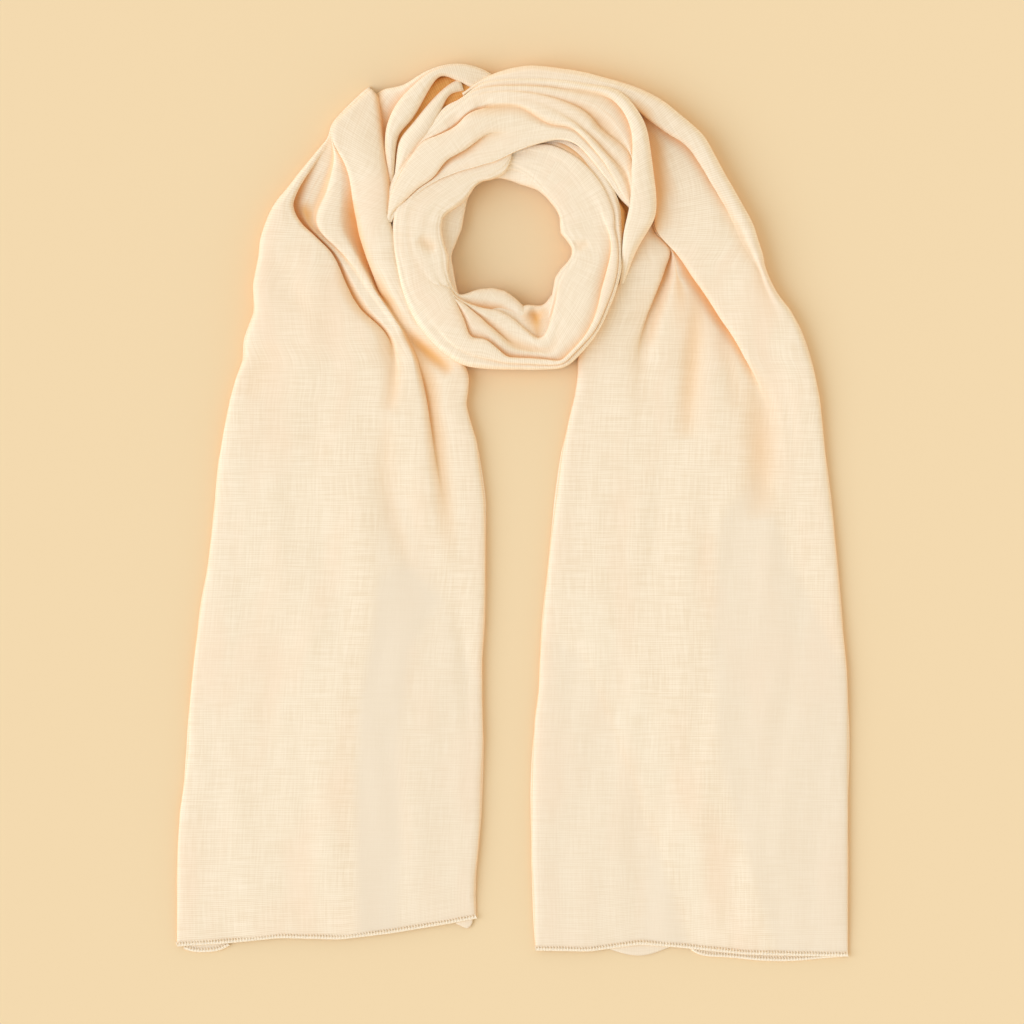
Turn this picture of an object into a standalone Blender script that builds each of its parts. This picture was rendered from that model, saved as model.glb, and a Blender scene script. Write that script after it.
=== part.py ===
"""Long scarf of thin voile, folded lengthwise, wound once into a loop and laid flat, both tails down.

Lengths in the tables are millimetres.  +X is right, +Y is away from the tails, +Z is up, and the floor is z = 0.
Every stretch of the scarf is a strip of cloth across which straight sections are taken.  A section stands on
a straight leg below the pivot (turn 0 or 180, so many millimetres of drop) or turns about the pivot in the
middle of the loop.  Its lines are the distances from the leg, or from the pivot, to the strip's two edges and
to the folds between them.  Its heights are the foot of one edge, each panel's height with the depth of the
crease between two panels, and the foot of the other edge.
"""
import math
from collections import namedtuple

import bmesh
import bpy
import numpy as np
from mathutils import Vector
from mathutils.bvhtree import BVHTree

MM = 0.001
COLLECTION_NAME = "long_scarf"

PIVOT = (0.48, 196.46)    # middle of the loop's opening
WALL = 1.0               # thickness of the modelled cloth
GAP = 0.45               # air between a wall and what lies under it

LAP_DEPTH = 0.8          # how far a full fold tucks under the panel that covers it
SOFT_REACH = 2.5         # half width of a fold that is only a soft step
SOFT_STEP = 2.0          # a lower step between panels than this is a soft one
FULL_STEP = 5.0          # a higher step than this is a full fold
NARROW_PANEL = 4.0       # a panel narrower than this has only soft folds beside it
FOLD_LEAD = 3.5          # length over which a panel bends into its fold
LEAD_SHARE = 0.20        # most of a panel's width that the bend may take
SLOPE_SHARE = 0.14       # most of a panel's width that a soft fold's slope may take
PUFF_RATE = 0.05         # how far a panel bulges for its width
PUFF_MOST = 1.6
EDGE_TUCK = 1.4          # how far an edge turns under
EDGE_SHARE = 0.3         # most of the edge's height, or of its panel's width, that the tuck may take
EDGE_MIDDLE = 0.45       # heights of the two points of a rolled edge, as shares of its rise
EDGE_TOP = 0.88

BOW_SHARE = 0.66         # places a hem's bow about a third of its length from the inner edge

HEM_WIDTH = 4.3          # rolled hem, flat
HEM_THICKNESS = 1.3
HEM_SPACING = 0.55       # between the cloth's end and its hem
HEM_LEVEL = 2.6
HEM_RUNS = 16
UNDER_HEM_LEVEL = 0.62
UNDER_HEM_THICKNESS = 1.1
UNDER_HEM_RUNS = 6

Section = namedtuple("Section", "turn drop skew lines heights bow", defaults=(0.0,))

# Left tail, from its hem up the leg and over the shoulder.
# lines: inner edge, fold under the crest, shoulder crease, soft trough, outer edge
# heights: foot, inner panel, crease, crest, crease, shoulder, crease, outer panel, foot
LEFT_TAIL = (
    Section(180, 485, 20, (26, 70, 120, 180, 242), (0.6, 2.6, 0, 2.7, 0, 2.8, 0, 2.7, 0.6), 6.0),
    Section(180, 470, 15, (26, 72, 122, 180, 242), (0.6, 4.6, 0, 5.0, 0, 5.2, 0, 4.6, 0.6), 5.0),
    Section(180, 432, 6, (24, 76, 125, 182, 241), (0.6, 5.4, 0, 6.2, 0, 6.0, 0, 5.2, 0.6)),
    Section(180, 374, 0, (22, 78, 128, 184, 234), (0.6, 5.6, 0, 6.6, 0, 6.4, 0, 5.4, 0.6)),
    Section(180, 317, 0, (21, 76, 126, 182, 230), (0.6, 5.4, 0, 6.8, 0, 6.2, 0, 5.6, 0.6)),
    Section(180, 259, 0, (20, 70, 120, 176, 223), (0.6, 5.2, 0.4, 7.0, 0, 6.2, 0.4, 5.6, 0.6)),
    Section(180, 209, 0, (19, 58, 112, 168, 215), (0.6, 5.4, 0.8, 7.6, 0, 6.6, 0.5, 6.0, 0.6)),
    Section(180, 173, 0, (22, 51, 106, 160, 210), (0.6, 6.0, 1.8, 9.4, 0, 7.6, 0.6, 6.6, 0.6)),
    Section(180, 144, 0, (26, 56, 100, 155, 206), (0.6, 6.5, 2.2, 11.0, 0, 8.4, 0.6, 7.0, 0.6)),
    Section(180, 115, 0, (32, 63, 95, 150, 201), (0.6, 7.0, 2.5, 12.5, 0, 9.4, 0.5, 7.6, 0.6)),
    Section(180, 94, 0, (37, 67, 90, 148, 196), (0.6, 7.5, 2.5, 13.6, 0.8, 10.4, 0.5, 8.0, 0.6)),
    Section(180, 76, 0, (58.5, 72, 87, 146, 193), (3.0, 9.0, 2.0, 14.5, 2.0, 11.6, 0.5, 8.6, 0.6)),
    Section(180, 59, 0, (71.6, 81, 96, 146, 188), (5.0, 12.5, 1.0, 15.0, 2.5, 12.6, 0.5, 9.2, 0.6)),
    Section(180, 43, 0, (80.4, 92, 112, 148, 186), (6.0, 16.5, 0, 13.5, 3.0, 13.5, 0.6, 9.6, 0.6)),
    Section(180, 25, 0, (86, 100, 123, 150, 186), (7.0, 19.5, 0, 13.5, 3.0, 14.2, 0.8, 10.0, 0.6)),
    Section(180, 0, 0, (90.5, 110, 139, 158, 181), (8.0, 22.0, 0, 13.5, 3.2, 14.4, 1.0, 10.0, 0.6)),
    Section(172, 0, 0, (95.5, 116, 149, 161, 172), (8.0, 24.0, 0, 15.0, 4.0, 14.0, 0.6, 9.0, 0.6)),
    Section(165, 0, 0, (96.8, 122, 140, 152, 163), (8.0, 25.0, 0, 17.0, 2.0, 14.5, 0.5, 9.0, 0.6)),
    Section(158, 0, 0, (97.8, 129, 139, 148, 157), (8.0, 25.0, 0, 18.0, 1.2, 15.0, 0.4, 9.0, 0.6)),
    Section(151, 0, 0, (104, 139, 144, 148, 151.5), (7.0, 24.0, 0, 19.0, 0, 14.5, 0, 8.5, 0.6)),
    Section(146, 0, 0, (112, 141, 145, 149, 152.5), (6.0, 21.5, 0, 17.5, 0, 13.0, 0, 8.0, 0.6)),
    Section(141, 0, 0, (120, 139, 143, 147, 150.5), (4.0, 17.5, 0, 14.5, 0, 11.0, 0, 7.0, 0.6)),
    Section(136.5, 0, 0, (131, 138.5, 141.5, 144.5, 148), (2.0, 12.0, 0, 10.5, 0, 8.5, 0, 6.0, 0.6)),
    Section(134, 0, 0, (138.5, 141, 143, 145, 147.3), (0.6, 7.0, 0, 6.5, 0, 6.0, 0, 5.0, 0.6)),
)

# Right tail, from its hem up the leg and round over the top of the loop.
# lines: inner edge, soft trough, edge of the fold that lies over it, soft crease, outer edge
# heights: foot, inner panel, crease, trough panel, crease, upper panel, crease, outer panel, foot
RIGHT_TAIL = (
    Section(0, 508, 4, (17, 60, 125, 185, 241), (0.6, 2.6, 0, 2.8, 0, 2.7, 0, 2.8, 0.6), -5.5),
    Section(0, 479, 2, (15, 62, 128, 184, 241), (0.6, 4.8, 0, 5.6, 0, 5.2, 0, 5.6, 0.6), -3.5),
    Section(0, 432, 0, (15, 64, 134, 184, 241), (0.6, 5.2, 0, 6.2, 0, 5.6, 0, 6.0, 0.6)),
    Section(0, 374, 0, (15.5, 66, 142, 186, 241), (0.6, 5.4, 0, 6.6, 0.3, 5.8, 0, 6.2, 0.6)),
    Section(0, 324, 0, (19, 68, 152, 190, 240.5), (0.6, 5.6, 0, 6.8, 0.3, 6.0, 0.3, 6.4, 0.6)),
    Section(0, 274, 0, (24, 72, 162, 194, 237), (0.6, 5.6, 0, 7.0, 0.4, 6.4, 0.3, 6.8, 0.6)),
    Section(0, 223, 0, (29, 78, 172, 198, 231), (0.6, 6.0, 0, 7.2, 0.6, 7.2, 0.3, 7.2, 0.6)),
    Section(0, 180, 0, (34, 88, 180, 202, 226.5), (0.6, 6.2, 0.3, 7.6, 1.0, 8.6, 0.3, 7.6, 0.6)),
    Section(0, 144, 0, (40.5, 100, 182, 201, 222), (0.6, 6.4, 0.4, 8.0, 1.6, 10.0, 0.3, 8.4, 0.6)),
    Section(0, 119, 0, (46.5, 106, 178, 198, 218), (0.6, 6.6, 0.5, 8.4, 1.6, 11.2, 0.3, 9.2, 0.6)),
    Section(0, 104, 0, (52, 104, 173, 194, 215), (0.6, 7.0, 0.6, 8.4, 1.2, 12.2, 0.3, 9.6, 0.6)),
    Section(0, 90, 0, (57, 98, 167, 190, 212), (0.6, 7.5, 0.8, 8.2, 0.6, 13.0, 0.4, 10.0, 0.6)),
    Section(0, 76, 0, (63.5, 95, 160, 186, 207.5), (0.6, 8.0, 1.0, 8.0, 0, 13.8, 0.5, 10.4, 0.6)),
    Section(0, 61, 0, (71, 96, 152, 181, 201.5), (0.6, 8.4, 1.6, 8.0, 0, 14.4, 0.6, 11.0, 0.6)),
    Section(0, 47, 0, (78.5, 100, 141, 176, 194), (0.6, 9.0, 2.4, 8.0, 0, 15.0, 0.8, 11.4, 0.6)),
    Section(0, 32, 0, (85, 107, 131.5, 174, 185.5), (0.6, 9.4, 3.0, 8.2, 0, 15.6, 1.0, 11.8, 0.6)),
    Section(0, 18, 0, (91, 111, 122.5, 171, 180), (0.6, 9.4, 3.0, 8.4, 0, 16.2, 1.2, 12.4, 0.6)),
    Section(0, 6, 0, (95, 107, 115, 167, 177), (0.6, 9.0, 2.0, 8.4, 0, 16.6, 1.6, 12.8, 0.6)),
    Section(4, 0, 0, (95, 102, 109, 159, 171.5), (0.6, 6.5, 0, 8.5, 0, 15.0, 1.8, 13.2, 0.6)),
    Section(10, 0, 0, (96, 104, 113, 153, 166), (0.6, 6.0, 0, 9.0, 0, 13.0, 2.0, 13.6, 0.6)),
    Section(18, 0, 0, (98, 107, 116, 147, 159.5), (0.6, 6.0, 0, 9.0, 0, 12.8, 2.2, 13.8, 0.6)),
    Section(26, 0, 0, (104, 112, 120, 142, 156.5), (0.6, 6.0, 0, 9.0, 0, 12.4, 2.2, 13.8, 0.6)),
    Section(34, 0, 0, (110, 117, 124, 136, 151), (0.6, 6.0, 0, 8.5, 0, 11.4, 2.0, 13.4, 0.6)),
    Section(42, 0, 0, (116, 121, 126, 132, 146.5), (0.6, 6.0, 0, 8.0, 0, 10.0, 1.0, 13.0, 0.6)),
    Section(51, 0, 0, (118, 123, 127.5, 132, 140), (0.6, 6.5, 0, 8.5, 0, 10.5, 0.5, 12.5, 0.6)),
    Section(61, 0, 0, (115, 119, 123, 127.5, 133.8), (0.6, 7.0, 0, 9.0, 0, 11.0, 0.3, 12.0, 0.6)),
    Section(71, 0, 0, (111, 115, 119, 123, 128.4), (0.6, 7.0, 0, 9.0, 0, 10.6, 0.3, 11.5, 0.6)),
    Section(81, 0, 0, (108, 112, 116, 120, 125.8), (0.6, 7.0, 0, 9.0, 0, 10.6, 0.3, 11.2, 0.6)),
    Section(90, 0, 0, (105, 109, 113, 117, 121.3), (0.6, 7.0, 0, 8.8, 0, 10.4, 0.3, 10.8, 0.6)),
    Section(98, 0, 0, (103, 106.5, 110, 113.5, 117.5), (0.6, 6.0, 0, 8.0, 0, 9.6, 0.3, 10.0, 0.6)),
    Section(103, 0, 0, (102, 105, 108, 111, 114.5), (0.6, 5.0, 0, 6.5, 0, 7.6, 0, 8.0, 0.6)),
)

# Inner loop, once round the opening from the flap at its top, by the left, the bottom and the right.
# lines: edge of the opening, three folds, outer edge
# heights: foot, innermost panel, crease, panel, crease, panel, crease, outermost panel, foot
INNER_LOOP = (
    Section(95, 0, 0, (51, 56, 63, 71, 79), (0.6, 22.0, 0, 22.5, 0, 21.0, 0, 17.0, 8.0)),
    Section(103, 0, 0, (48.5, 54, 62, 71, 81), (0.6, 22.0, 0, 23.0, 0, 21.5, 0, 17.0, 7.0)),
    Section(112, 0, 0, (47.5, 54, 62, 72, 83), (0.6, 22.0, 0, 23.5, 0, 22.0, 0, 17.5, 6.0)),
    Section(122, 0, 0, (49, 55, 63, 73, 84), (0.6, 22.0, 0, 23.5, 0, 22.0, 0, 17.5, 6.0)),
    Section(133, 0, 0, (47, 52, 62, 73, 85), (0.6, 20.0, 0, 23.5, 0, 22.5, 0, 18.0, 6.0)),
    Section(142, 0, 0, (43.5, 48, 61, 73, 85), (0.6, 17.0, 0, 23.5, 0, 23.0, 0, 18.5, 6.0)),
    Section(151, 0, 0, (41, 50, 62, 74, 85), (0.6, 15.5, 0, 23.5, 0, 23.5, 0, 19.0, 6.0)),
    Section(161, 0, 0, (39.5, 54, 65, 76, 85), (0.6, 14.5, 0, 23.0, 1.0, 24.0, 0, 20.5, 6.0)),
    Section(171, 0, 0, (39.5, 52.5, 65, 77, 86), (0.6, 14.0, 0, 22.5, 2.0, 24.0, 0, 22.0, 7.0)),
    Section(180, 0, 0, (40.5, 51.5, 65, 76, 85.8), (0.6, 14.5, 0, 22.5, 3.0, 23.5, 0, 22.0, 7.0)),
    Section(188, 0, 0, (44.5, 52, 64, 76, 86.2), (0.6, 18.5, 0, 23.0, 1.5, 24.0, 0, 22.0, 7.0)),
    Section(197, 0, 0, (48.5, 56, 66, 77, 86.8), (0.6, 22.0, 0, 24.0, 0, 24.0, 0, 21.5, 7.0)),
    Section(207, 0, 0, (52, 58, 67, 78, 88.3), (0.6, 23.5, 0, 24.5, 0, 24.0, 0, 20.5, 6.0)),
    Section(216, 0, 0, (55.5, 61, 67, 75, 90), (0.6, 24.5, 0, 25.0, 0, 24.0, 0, 19.5, 5.0)),
    Section(225, 0, 0, (54, 58, 62, 67, 92), (0.6, 26.0, 0, 26.0, 0, 25.0, 0, 21.0, 4.0)),
    Section(233, 0, 0, (47, 55.5, 60, 65, 94), (0.6, 27.5, 0, 26.5, 0, 24.5, 0, 20.0, 3.0)),
    Section(241, 0, 0, (40.5, 55, 60, 69, 95.7), (0.6, 28.0, 0, 26.0, 0, 22.5, 0, 18.0, 2.0)),
    Section(248, 0, 0, (38, 53, 62.5, 76, 96.5), (0.6, 28.0, 0, 25.0, 0, 21.0, 0, 16.0, 0.6)),
    Section(255, 0, 0, (37, 52, 67, 75.5, 94.5), (0.6, 28.0, 0, 24.0, 0, 20.5, 0, 15.5, 0.6)),
    Section(262, 0, 0, (37.5, 54.5, 71.5, 79.5, 93.2), (0.6, 27.5, 0, 23.0, 0, 19.5, 0, 14.5, 0.6)),
    Section(269, 0, 0, (39.5, 58.5, 76, 85, 93), (0.6, 26.5, 0, 22.0, 0, 18.0, 0, 12.5, 0.6)),
    Section(276, 0, 0, (43, 66, 79, 86, 93.6), (0.6, 25.5, 0, 21.0, 0, 17.0, 0, 11.5, 0.6)),
    Section(283, 0, 0, (48, 72, 82.5, 88.5, 95), (0.6, 22.0, 0, 19.5, 0, 16.5, 0, 11.0, 0.6)),
    Section(290, 0, 0, (50.5, 70, 84, 93, 98), (0.6, 20.0, 0, 20.0, 0, 18.0, 0, 12.0, 0.6)),
    Section(298, 0, 0, (52.5, 65, 80, 92, 97), (0.6, 22.0, 0, 22.5, 0, 20.0, 0, 14.5, 0.6)),
    Section(306, 0, 0, (48.5, 60, 74, 88, 93.5), (0.6, 22.5, 0, 24.0, 0, 22.0, 0, 16.0, 2.0)),
    Section(314, 0, 0, (43.5, 56, 70, 83.5, 88.5), (0.6, 23.0, 0, 24.5, 0, 23.0, 0, 17.0, 4.0)),
    Section(322, 0, 0, (40.8, 53, 66, 78.3, 83.8), (0.6, 23.0, 0, 24.5, 0, 23.5, 0, 17.5, 5.0)),
    Section(331, 0, 0, (40, 51, 63, 73.6, 79.8), (0.6, 23.0, 0, 24.5, 0, 23.5, 0, 17.5, 6.0)),
    Section(341, 0, 0, (41.8, 51, 62, 71.6, 78), (0.6, 22.5, 0, 24.5, 0, 23.5, 0, 17.5, 6.0)),
    Section(351, 0, 0, (44.2, 52, 61, 70.3, 77), (0.6, 20.0, 1.5, 24.0, 0, 23.0, 0, 17.5, 6.0)),
    Section(357, 0, 0, (43, 51, 60, 69.3, 76.6), (0.6, 19.0, 2.0, 24.0, 0, 23.0, 0, 18.0, 6.0)),
    Section(364, 0, 0, (37.5, 49, 59, 68.5, 76.4), (0.6, 21.0, 1.0, 24.0, 0, 23.0, 0, 20.0, 6.0)),
    Section(374, 0, 0, (36.7, 48, 58, 67.5, 75.8), (0.6, 22.0, 0.3, 24.0, 0, 23.5, 0, 21.0, 6.0)),
    Section(386, 0, 0, (38, 49, 58, 67.5, 75), (0.6, 22.5, 0, 24.0, 0, 23.5, 0, 20.5, 6.0)),
    Section(400, 0, 0, (38, 49, 58, 67.5, 75), (0.6, 22.5, 0, 23.5, 0, 22.5, 0, 19.5, 6.0)),
    Section(414, 0, 0, (38.5, 49, 58, 68, 76), (0.6, 21.5, 0, 22.5, 0, 21.0, 0, 17.5, 6.0)),
    Section(426, 0, 0, (39.8, 50, 59, 69, 78), (0.6, 20.5, 0, 21.5, 0, 20.0, 0, 16.0, 6.0)),
    Section(437, 0, 0, (43, 52, 61, 70, 78), (0.6, 19.5, 0, 20.5, 0, 19.0, 0, 15.5, 7.0)),
    Section(446, 0, 0, (48, 55, 62, 70, 78), (0.6, 18.5, 0, 19.5, 0, 18.5, 0, 15.5, 8.0)),
    Section(452.5, 0, 0, (51, 56.5, 63, 70.5, 78), (0.6, 17.0, 0, 18.5, 0, 17.5, 0, 15.5, 8.5)),
)

# Band that crosses over the top of the loop and runs down its right side.
# lines: hemmed inner edge, three folds, outer edge
# heights: foot, hem panel, crease, panel, crease, panel, crease, outer leaf, foot
BAND = (
    Section(174, 0, 0, (87.1, 88.6, 90.1, 91.6, 93.1), (15.0, 21.6, 0, 21.8, 0, 21.6, 0, 21.0, 13.0)),
    Section(169.5, 0, 0, (86.8, 88.6, 90.2, 91.8, 93.4), (19.0, 25.5, 0, 25.5, 0, 25.0, 0, 24.0, 12.0)),
    Section(165, 0, 0, (82.5, 85.5, 88.5, 91, 93.8), (25.2, 27.6, 0, 27.4, 0, 27.0, 0, 25.5, 9.0)),
    Section(158, 0, 0, (77, 81, 86, 90, 94.2), (26.5, 28.8, 0, 28.4, 0, 28.0, 0, 26.0, 9.0)),
    Section(150, 0, 0, (72, 76.5, 84, 90, 94.8), (26.8, 29.8, 0, 28.0, 0, 27.8, 0, 25.5, 9.0)),
    Section(142, 0, 0, (68, 74.2, 85, 91, 95.5), (26.8, 30.4, 0.5, 27.4, 0, 26.5, 0, 24.5, 9.0)),
    Section(134, 0, 0, (64.3, 74, 88, 93, 97.5), (26.8, 30.8, 0.5, 27.2, 0, 25.0, 0.5, 23.0, 9.0)),
    Section(127, 0, 0, (61.8, 75, 92, 97, 101.5), (26.8, 31.0, 0.5, 27.2, 0.3, 23.6, 1.0, 22.4, 9.5)),
    Section(120, 0, 0, (59.8, 75.4, 93, 100, 107), (26.8, 31.2, 0.5, 27.4, 0.6, 23.2, 0.6, 22.4, 10.0)),
    Section(112, 0, 0, (58.7, 76.6, 95.5, 103, 111), (26.8, 31.4, 0.5, 27.6, 0.8, 23.0, 0.3, 22.2, 11.0)),
    Section(105, 0, 0, (58.7, 78, 97, 106, 113.2), (26.8, 31.4, 0.5, 27.4, 0.8, 22.8, 0, 21.8, 12.0)),
    Section(97, 0, 0, (59.7, 77, 95.6, 106, 113), (26.6, 30.8, 0.3, 27.2, 0.6, 22.6, 0, 21.4, 13.0)),
    Section(90, 0, 0, (61.8, 76, 95, 106, 114), (25.6, 29.8, 0.2, 27.0, 0.6, 22.6, 0, 21.2, 13.5)),
    Section(82, 0, 0, (67.5, 76.5, 92.5, 105, 115.8), (24.0, 28.6, 0.2, 26.4, 0.6, 22.6, 0, 21.2, 13.5)),
    Section(75, 0, 0, (72, 78.5, 89.4, 105, 118.4), (22.0, 26.8, 0.2, 25.4, 0.6, 22.8, 0, 21.2, 13.5)),
    Section(67, 0, 0, (79.3, 83, 88.4, 107, 120.8), (17.0, 22.8, 0.2, 22.4, 0.6, 23.2, 0, 21.4, 13.5)),
    Section(60, 0, 0, (81.7, 84.4, 90, 113, 124.6), (14.0, 19.5, 0, 19.6, 0.8, 23.4, 0, 22.4, 13.5)),
    Section(53, 0, 0, (83, 86, 91.5, 122.5, 129.5), (12.0, 18.0, 0, 18.2, 0.6, 23.4, 0.6, 23.6, 13.0)),
    Section(46, 0, 0, (82.3, 85.2, 91.7, 118, 128.5), (11.0, 17.4, 0, 17.6, 0.4, 22.8, 0, 26.4, 12.0)),
    Section(40, 0, 0, (81.8, 84.8, 91.3, 109, 125.5), (10.5, 17.2, 0, 17.4, 0.2, 22.0, 0, 27.6, 11.0)),
    Section(34, 0, 0, (81.4, 84.6, 91.5, 101.5, 119.5), (10.0, 17.0, 0, 17.2, 0, 21.2, 0, 28.0, 10.0)),
    Section(28, 0, 0, (81, 84, 90.5, 95.5, 113.5), (9.5, 16.8, 0, 17.0, 0, 20.4, 0, 28.0, 9.5)),
    Section(22, 0, 0, (80.8, 83.2, 87.5, 91.5, 109.8), (9.0, 16.2, 0, 16.6, 0, 19.2, 0, 27.8, 9.5)),
    Section(16, 0, 0, (80.2, 81.8, 83.6, 88.6, 106.5), (8.5, 15.2, 0, 15.6, 0, 17.2, 0, 27.4, 9.0)),
    Section(9.5, 0, 0, (79.6, 81.2, 82.8, 86.6, 104.6), (8.0, 15.4, 0, 16.6, 0, 18.4, 0, 26.6, 8.5)),
    Section(3, 0, 0, (79, 80.8, 82.6, 85.6, 100.5), (8.0, 17.0, 0, 18.6, 0, 20.4, 0, 25.6, 8.5)),
    Section(356, 0, 0, (78.8, 80.8, 82.8, 84.8, 94), (8.0, 19.0, 0, 20.5, 0, 22.0, 0, 24.2, 8.0)),
    Section(348, 0, 0, (79, 81, 83, 85, 89.6), (8.0, 19.0, 0, 20.5, 0, 21.6, 0, 22.8, 7.0)),
    Section(338, 0, 0, (80.2, 82, 83.8, 85.6, 89), (7.0, 18.0, 0, 19.4, 0, 20.4, 0, 21.4, 5.0)),
    Section(329, 0, 0, (82.7, 84.2, 85.7, 87.2, 90.2), (6.5, 17.0, 0, 17.8, 0, 18.4, 0, 18.8, 5.0)),
    Section(324, 0, 0, (85, 86.4, 87.8, 89.2, 91.6), (7.0, 14.6, 0, 15.2, 0, 15.6, 0, 15.8, 6.0)),
)

# Leaf at the top left, which rolls over the top of the loop, and the narrow leaf inside it.
# lines: inner edge, outer edge; heights: foot, panel, foot
OUTER_LEAF = (
    Section(149, 0, 0, (101.6, 105.4), (8.0, 15.0, 7.6)),
    Section(145, 0, 0, (106.2, 110.9), (8.0, 20.0, 5.0)),
    Section(140, 0, 0, (110.4, 118.5), (8.0, 23.0, 2.0)),
    Section(135, 0, 0, (113.2, 127), (8.0, 25.0, 0.6)),
    Section(130, 0, 0, (114.4, 131.5), (7.0, 26.0, 0.6)),
    Section(125, 0, 0, (117.5, 134), (6.0, 26.0, 0.6)),
    Section(120, 0, 0, (124, 134.8), (6.0, 24.0, 0.6)),
    Section(115, 0, 0, (129.3, 135.6), (6.0, 20.0, 0.6)),
    Section(110.5, 0, 0, (128.5, 134.2), (5.0, 18.0, 0.6)),
    Section(108.2, 0, 0, (116.5, 132.6), (4.0, 17.0, 0.6)),
    Section(104, 0, 0, (116, 128), (2.0, 14.0, 0.6)),
    Section(100, 0, 0, (118.2, 122.5), (0.6, 8.0, 0.6)),
)
INNER_LEAF = (
    Section(149, 0, 0, (96.6, 100.3), (8.0, 15.0, 8.0)),
    Section(145, 0, 0, (97.4, 103.4), (8.0, 18.5, 8.0)),
    Section(140, 0, 0, (98, 107.6), (8.0, 21.0, 8.0)),
    Section(134, 0, 0, (100, 110.2), (8.0, 22.0, 8.0)),
    Section(128, 0, 0, (103.4, 111.6), (8.0, 22.0, 8.0)),
    Section(122, 0, 0, (108.2, 114), (8.0, 21.0, 8.0)),
    Section(117, 0, 0, (112.2, 118.4), (8.0, 19.0, 8.0)),
    Section(112.5, 0, 0, (115.6, 121.6), (8.0, 16.0, 8.0)),
)

# Stations along each strip; the sections in the tables are joined by a smooth curve through them.
STATIONS = {"left_tail": 21, "right_tail": 25, "inner_loop": 34, "band": 28, "outer_leaf": 12, "inner_leaf": 9}
STRIPS = {"left_tail": LEFT_TAIL, "right_tail": RIGHT_TAIL, "inner_loop": INNER_LOOP, "band": BAND,
          "outer_leaf": OUTER_LEAF, "inner_leaf": INNER_LEAF}

# Hems of lower layers that show past a tail's own hem: the tail, the share of its width where the hem starts
# and ends, and how far it lies beyond the cloth's end.
UNDER_HEMS = {
    "left_under_hem": ("left_tail", 0.83, 0.97, 5.6),
    "right_middle_hem": ("right_tail", 0.26, 0.44, 6.8),
    "right_under_hem": ("right_tail", 0.52, 0.97, 5.8),
}

# Hidden layers under the loop and the band: they lie between these two distances from the pivot.
# columns: turn, inner edge, outer edge
HEAP = (
    (0, 47.5, 88.0), (15, 41.5, 90.0), (30, 42.5, 101.0), (45, 42.5, 110.0), (60, 43.5, 109.0),
    (75, 47.5, 104.0), (90, 55.0, 99.0), (103, 53.5, 96.0), (110, 52.0, 102.0), (117, 53.0, 121.0),
    (125, 53.0, 127.0), (133, 51.5, 121.0), (141, 48.5, 110.0), (149, 45.5, 98.0), (158, 44.0, 92.0),
    (167, 43.8, 90.0), (180, 45.0, 81.5), (195, 52.5, 82.0), (210, 58.0, 84.0), (222, 61.0, 86.5),
    (232, 54.0, 88.0), (241, 46.0, 90.0), (250, 42.5, 91.0), (262, 42.0, 88.0), (275, 47.5, 88.5),
    (286, 54.5, 91.0), (298, 57.5, 91.0), (308, 53.0, 86.0), (318, 47.5, 80.0), (331, 44.5, 74.0),
    (345, 47.5, 76.0),
)
HEAP_TURNS = 44
HEAP_RINGS = 8
OPEN_POCKET = 7.0        # height of the hidden layers where no cloth lies over them
LAYER_INSET = 4.2        # distance of the hidden layers from a tail's edges
LAYER_SETBACK = 3.0      # and from its hemmed end
LAYER_COLUMNS = 13
LAYER_ROWS = {"left_tail": 20, "right_tail": 22}
LAYER_ENDS = {"left_tail": 4, "right_tail": 4}      # sections left off where a strip's far end tapers
LAYER_LEAST = 0.8
PROBES_ACROSS = 21       # upward looks for the cloth above each point, across a tail and along it
PROBES_ALONG = 11
PROBE_REACH = 1.0        # how far they go, in steps of the grid

CREAM = (0.93, 0.80, 0.62, 1.0)
LAYER_CREAM = (0.88, 0.73, 0.54, 1.0)
HEM_CREAM = (0.95, 0.84, 0.68, 1.0)
CLOTH_ROUGHNESS = 0.85


def clamp(value, low, high):
    return max(low, min(high, value))


def fold_points(line, before, after, dip, level_before, level_after):
    """Four points of the fold between two panels, whose widths are before and after.

    The higher panel's edge lies on the line and covers the tuck; a low step is a soft slope across the line.
    """
    step = level_after - level_before
    firmness = clamp((abs(step) - SOFT_STEP) / (FULL_STEP - SOFT_STEP), 0.0, 1.0)
    firmness *= clamp((min(before, after) - NARROW_PANEL) / NARROW_PANEL, 0.0, 1.0)
    tuck = firmness * LAP_DEPTH
    reach = (1.0 - firmness) * min(SOFT_REACH, SLOPE_SHARE * before, SLOPE_SHARE * after)
    first_turn = line - reach + (tuck if step > 0 else 0.0)
    second_turn = line + reach - (tuck if step < 0 else 0.0)
    lead_before = min(FOLD_LEAD, LEAD_SHARE * before)
    lead_after = min(FOLD_LEAD, LEAD_SHARE * after)
    return [
        (first_turn - lead_before, level_before),
        (first_turn, level_before + 0.25 * step - dip),
        (second_turn, level_before + 0.75 * step - dip),
        (second_turn + lead_after, level_after),
    ]


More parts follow.
